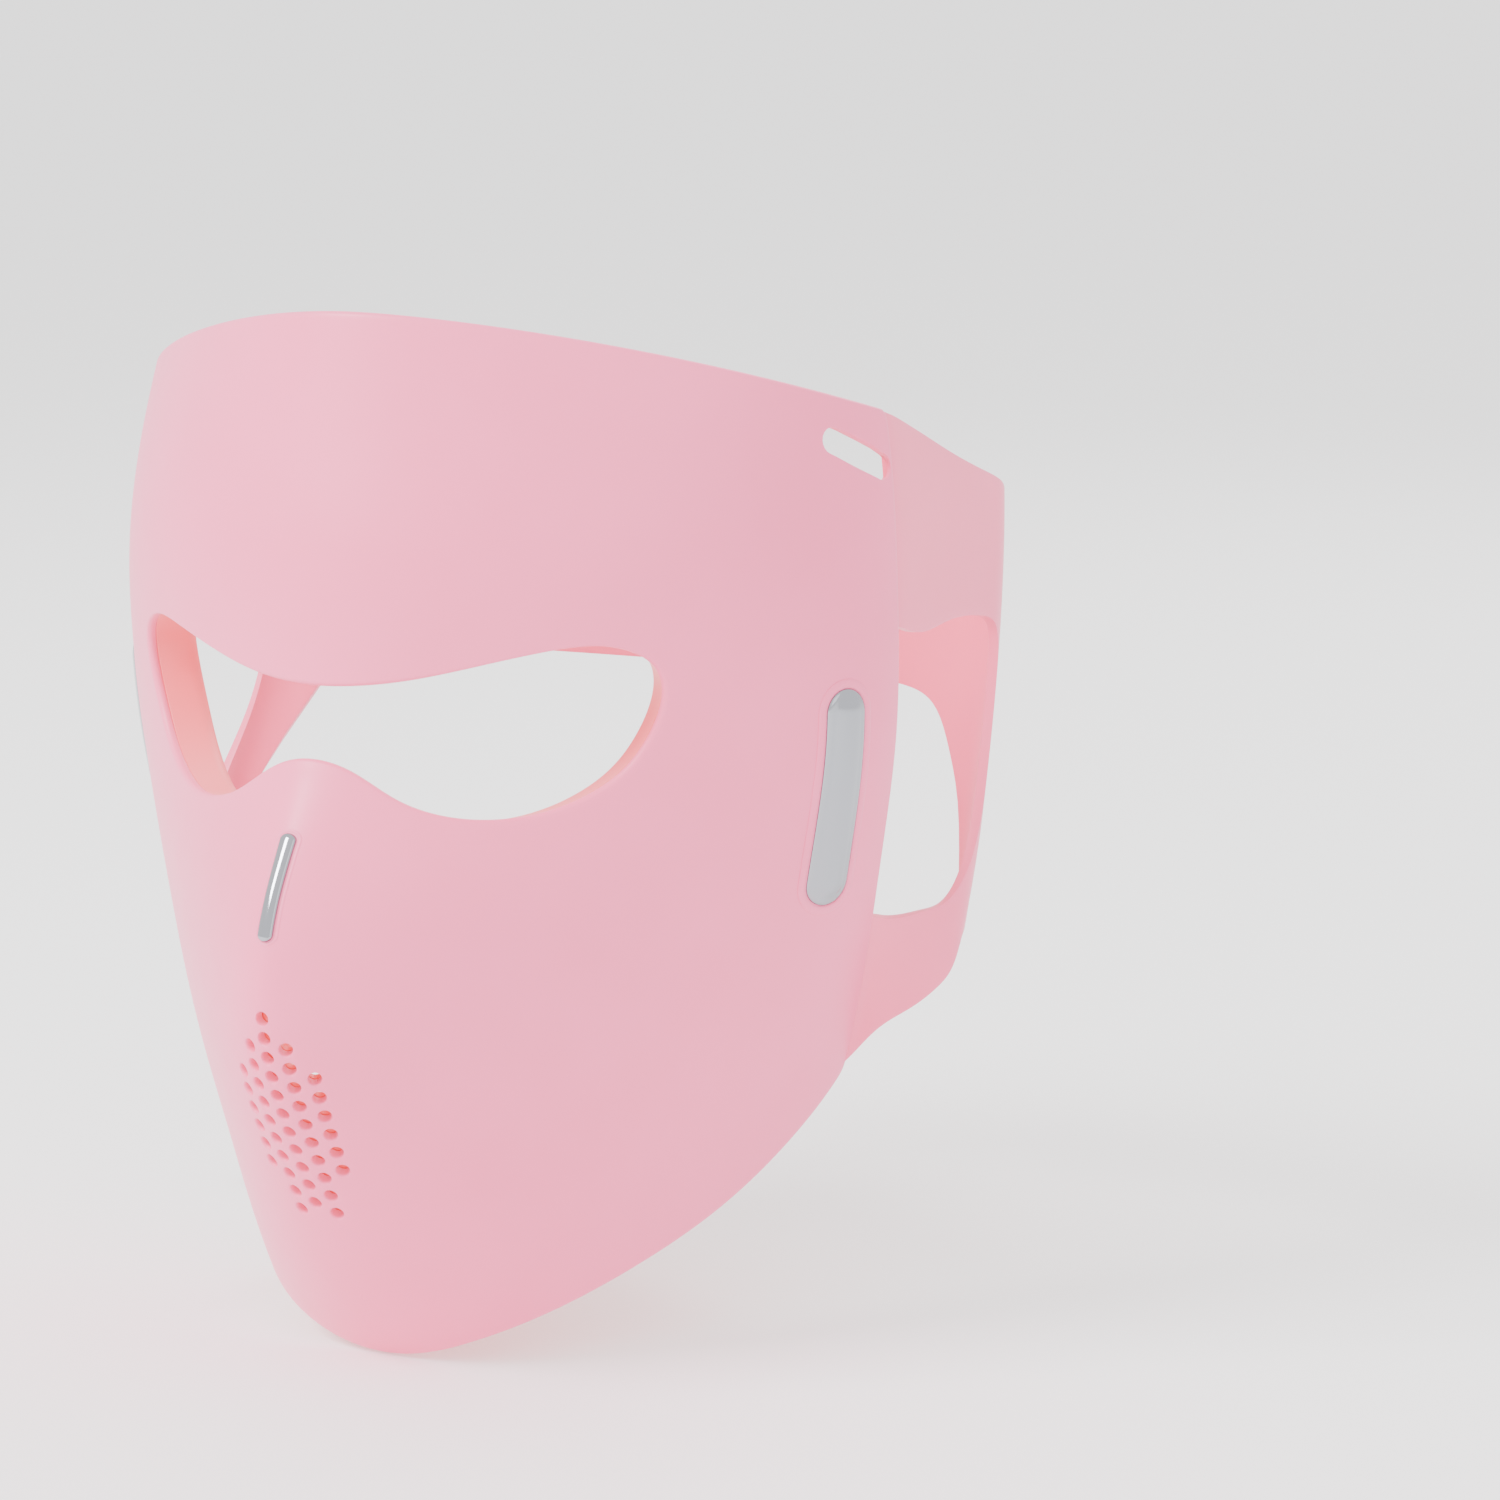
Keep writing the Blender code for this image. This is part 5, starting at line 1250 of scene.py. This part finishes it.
def makeStitches(name, side, lift, firstX, lastX, height, level, body):
    inset = 2.3
    outline = stadium(height - 2 * inset, firstX - lastX - 2 * inset, 40)[:, ::-1]
    path = along(np.concatenate([outline, outline[:1]]), 150)[:-1]
    ahead = np.roll(path, -1, axis=0) - path
    ahead /= np.linalg.norm(ahead, axis=1, keepdims=True)
    across = np.stack([-ahead[:, 1], ahead[:, 0]], 1)
    middle = (firstX + lastX) / 2
    u = np.linspace(-1, 1, 7)
    turns = np.linspace(0, 2 * math.pi, 7)[:-1]
    fat = 0.3 * np.sqrt(np.maximum(1 - u**4, 0.02))
    # Each stitch is a short rounded thread, bowed up in its middle.
    offAlong = np.broadcast_to((u * 0.85)[:, None], (7, 6))
    offAcross = fat[:, None] * np.cos(turns)[None]
    rise = level + 0.22 * (1 - u**2)[:, None] + fat[:, None] * np.sin(turns)[None]
    flat = (path[:, None, None] + ahead[:, None, None] * offAlong[None, ..., None]
            + across[:, None, None] * offAcross[None, ..., None])
    x = middle + flat[..., 0]
    z = strap["bandMiddle"] + flat[..., 1]
    placed = strapPoint(strapS(x), z, lift, -np.broadcast_to(rise, x.shape))
    placed[..., 0] *= side
    stacks = list(placed)
    stackPiece(name, stacks, stitchRose, body)


leftStrap = makeStrap("strap_band_left", 1, 0.0, strap["underlap"], False, "strap_left")
rightStrap = makeStrap("strap_band_right", -1, tabLift, -strap["tabReach"], True, "strap_right")
for piece, body, side in ((leftStrap, "left_strap", 1), (rightStrap, "right_strap", -1)):
    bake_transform(piece)
patchOuter = strap["patchWall"] + 0.6
makePill("leather_label", -1, tabLift, strap["patchReach"], -0.96 * strap["tabReach"], strap["patchHeight"],
         patchOuter, patchOuter - 0.4, 0.35, 0.7, leatherRose, "right_strap", "patch_leather", ["leather_patch"])
makeStitches("label_stitches", -1, tabLift, strap["patchReach"], -0.96 * strap["tabReach"], strap["patchHeight"],
             patchOuter - 0.42, "right_strap")
padFirst = strap["tabReach"] - 6.0
padLast = strap["underlap"] + 6.0
makePill("loop_strip", 1, 0.0, padFirst, padLast, strap["padHeight"], strap["padWall"] + 0.3,
         strap["padWall"], 0.1, 0.3, padRose, "left_strap", "pad_fabric", ["loop_pad"])
makePill("hook_strip", -1, tabLift, -padLast, -padFirst, strap["padHeight"],
         -strap["wall"] + 0.05, strap["padWall"] + 0.3, 0.1, 0.3, padRose, "right_strap", "pad_fabric", ["hook_pad"])

print("stage: gland, tie and plug")


def basisOf(toward, side):
    toward = np.array(toward, float) / np.linalg.norm(toward)
    side = np.array(side, float) - toward * np.dot(side, toward)
    side /= np.linalg.norm(side)
    return np.stack([side, np.cross(toward, side), toward], 1)


def makeCableEnds():
    gland = basisOf((0, 0.53, -0.85), (1, 0, 0)), np.array([-50.4, -21.8, 25.0])
    levels = [(0.0, -2.0), (0.15, -0.8), (1.2, 0.0), (3.2, 0.0), (3.7, -0.35)]
    for i in range(5):
        low = 4.1 + 2.0 * i
        wide = -0.55 - 0.4 * i
        levels += [(low, wide - 0.45), (low + 0.25, wide - 0.5), (low + 0.6, wide), (low + 1.4, wide - 0.08),
                   (low + 1.75, wide - 0.5)]
    levels += [(14.4, -2.75), (14.85, -2.9), (15.0, -3.4)]
    stackPiece("cable_boot", [flaredRings(ringPolygon(5.5, 32), levels, gland)], shellPink, "mask",
               ["cable_gland"])

    low, high = (np.array(corner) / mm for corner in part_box("coil_tie"))
    middle = (low + high) / 2
    halfX, halfZ = (high[0] - low[0]) / 2 - 0.4, (high[2] - low[2]) / 2 - 0.4
    path = np.array(rounded([(-halfX, -halfZ, 2.2), (halfX, -halfZ, 2.2), (halfX, halfZ, 2.2),
                             (-halfX, halfZ, 2.2)], 8))
    outward = path / np.linalg.norm(path, axis=1, keepdims=True)
    halfY = (high[1] - low[1]) / 2
    band = np.array(rounded([(-0.4, -halfY, 0.35), (0.4, -halfY, 0.35), (0.4, halfY, 0.35), (-0.4, halfY, 0.35)], 4))
    flat = path[:, None] + outward[:, None] * band[None, :, :1]
    across = np.broadcast_to(band[None, :, 1], flat.shape[:2])
    points = np.stack([flat[..., 0], across, flat[..., 1]], -1) + middle
    tie = newPiece("coil_strap", points, gridFaces(len(path), len(band), True, True), tieGrey, "mask",
                   "tie_plastic", ["coil_tie"])
    turnOut(tie.data)

    low, high = (np.array(corner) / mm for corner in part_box("plug_grip"))
    size = high - low
    middle = (low + high) / 2
    frameOf = basisOf((-1, 0, 0), (0, 1, 0)), np.array([high[0], middle[1], middle[2]])
    outline = np.array(rounded([(-size[1] / 2, -size[2] / 2, 2.6), (size[1] / 2, -size[2] / 2, 2.6),
                                (size[1] / 2, size[2] / 2, 2.6), (-size[1] / 2, size[2] / 2, 2.6)], 8))
    levels = [(0.0, -2.6), (0.4, -1.7), (1.6, -1.0), (3.4, -0.5), (5.5, -0.1)]
    for i in range(5):
        start = 7.5 + 2.1 * i
        levels += [(start, -0.05), (start + 0.3, -0.45), (start + 0.8, -0.45), (start + 1.1, -0.05)]
    levels += [(20.0, 0.0), (24.6, 0.0), (25.6, -0.35), (26.0, -1.1)]
    grip = stackPiece("plug_body", [flaredRings(outline, levels, frameOf)], cableWhite, "mask",
                      ["plug_grip"])

    low, high = (np.array(corner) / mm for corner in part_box("plug_shell"))
    size = high - low
    middle = (low + high) / 2
    frameOf = basisOf((-1, 0, 0), (0, 1, 0)), np.array([high[0], middle[1], middle[2]])
    outline = np.array(rounded([(-size[1] / 2, -size[2] / 2, 0.9), (size[1] / 2, -size[2] / 2, 0.9),
                                (size[1] / 2, size[2] / 2, 0.9), (-size[1] / 2, size[2] / 2, 0.9)], 4))
    levels = [(0.0, 0.0), (size[0] - 0.1, 0.0), (size[0], -0.1), (size[0], -0.35), (size[0] - 0.1, -0.5), (1.0, -0.5)]
    metal = stackPiece("plug_sleeve", [flaredRings(outline, levels, frameOf)], plugSteel, None,
                       ["plug_shell"])
    square = np.array([(-1.1, -1.0), (1.1, -1.0), (1.1, 1.0), (-1.1, 1.0)])
    up = basisOf((0, 0, 1), (1, 0, 0))
    cutters = [flaredRings(square, [(-0.9, 0), (0.5, 0)], (up, np.array([middle[0] + 0.5, middle[1] + y, high[2]])))
               for y in (-2.6, 2.6)]
    cutAway(metal, [cutterFrom("latchHoles", cutters)])
    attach(metal, "mask")

    low, high = (np.array(corner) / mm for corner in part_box("plug_tongue"))
    size = high - low
    middle = (low + high) / 2
    frameOf = basisOf((-1, 0, 0), (0, 1, 0)), np.array([high[0], middle[1], middle[2]])
    outline = np.array(rounded([(-size[1] / 2, -size[2] / 2, 0.2), (size[1] / 2, -size[2] / 2, 0.2),
                                (size[1] / 2, size[2] / 2, 0.2), (-size[1] / 2, size[2] / 2, 0.2)], 3))
    tongue = stackPiece("plug_insert", [flaredRings(outline, [(0, 0), (size[0] - 0.4, 0), (size[0], -0.3)], frameOf)],
                        cableWhite, "mask", ["plug_tongue"])
    down = basisOf((0, 0, -1), (1, 0, 0))
    strips = [flaredRings(np.array([(-3.6, -0.5), (3.6, -0.5), (3.6, 0.5), (-3.6, 0.5)]), [(-0.1, 0), (0.12, 0)],
                          (down, np.array([middle[0] - 0.8, middle[1] + y, low[2]]))) for y in (-3.4, -1.15, 1.15, 3.4)]
    contacts = stackPiece("plug_contacts", strips, contactGold, "mask")
    return [grip, metal, tongue, contacts, tie]


onCable = makeCableEnds()

print("stage: floor and light")

studio = {
    "floorColour": (1.0, 1.0, 1.0),
    "worldColour": (1.0, 0.985, 0.985),
    "worldStrength": 2.0,
    "lamps": (
        ("key", (-0.9, -1.3, 1.5), 0.8, 62.0),
        ("fill", (1.5, -1.0, 0.9), 1.2, 6.0),
        ("rear", (0.2, 1.6, 1.3), 1.2, 12.0),
    ),
}


def makeStudio():
    floorMaterial, nodes, links, shader = newMaterial("floorPale", studio["floorColour"], 0.6)
    drift = rampOf(nodes, links, addNoise(nodes, links, 3.0, 2.0), [
        (0.3, shade(studio["floorColour"], 0.995)), (0.7, studio["floorColour"])])
    links.new(drift, shader.inputs["Base Color"])
    reach = 200.0
    mesh = bpy.data.meshes.new("floor")
    mesh.from_pydata([(-reach, -reach, 0), (reach, -reach, 0), (reach, reach, 0), (-reach, reach, 0)], [], [(0, 1, 2, 3)])
    mesh.materials.append(floorMaterial)
    floor = bpy.data.objects.new("floor", mesh)
    bpy.context.scene.collection.objects.link(floor)
    world = bpy.data.worlds.new("studio")
    bpy.context.scene.world = world
    world.use_nodes = True
    sky = world.node_tree.nodes["Background"]
    sky.inputs["Color"].default_value = (*studio["worldColour"], 1)
    sky.inputs["Strength"].default_value = studio["worldStrength"]
    for name, place, size, power in studio["lamps"]:
        data = bpy.data.lights.new(name, "AREA")
        data.size = size
        data.energy = power
        lamp = bpy.data.objects.new(name, data)
        bpy.context.scene.collection.objects.link(lamp)
        lamp.location = place
        lamp.rotation_euler = (Vector((0, 0, 0.1)) - Vector(place)).to_track_quat("-Z", "Y").to_euler()


makeStudio()

print("stage: done")
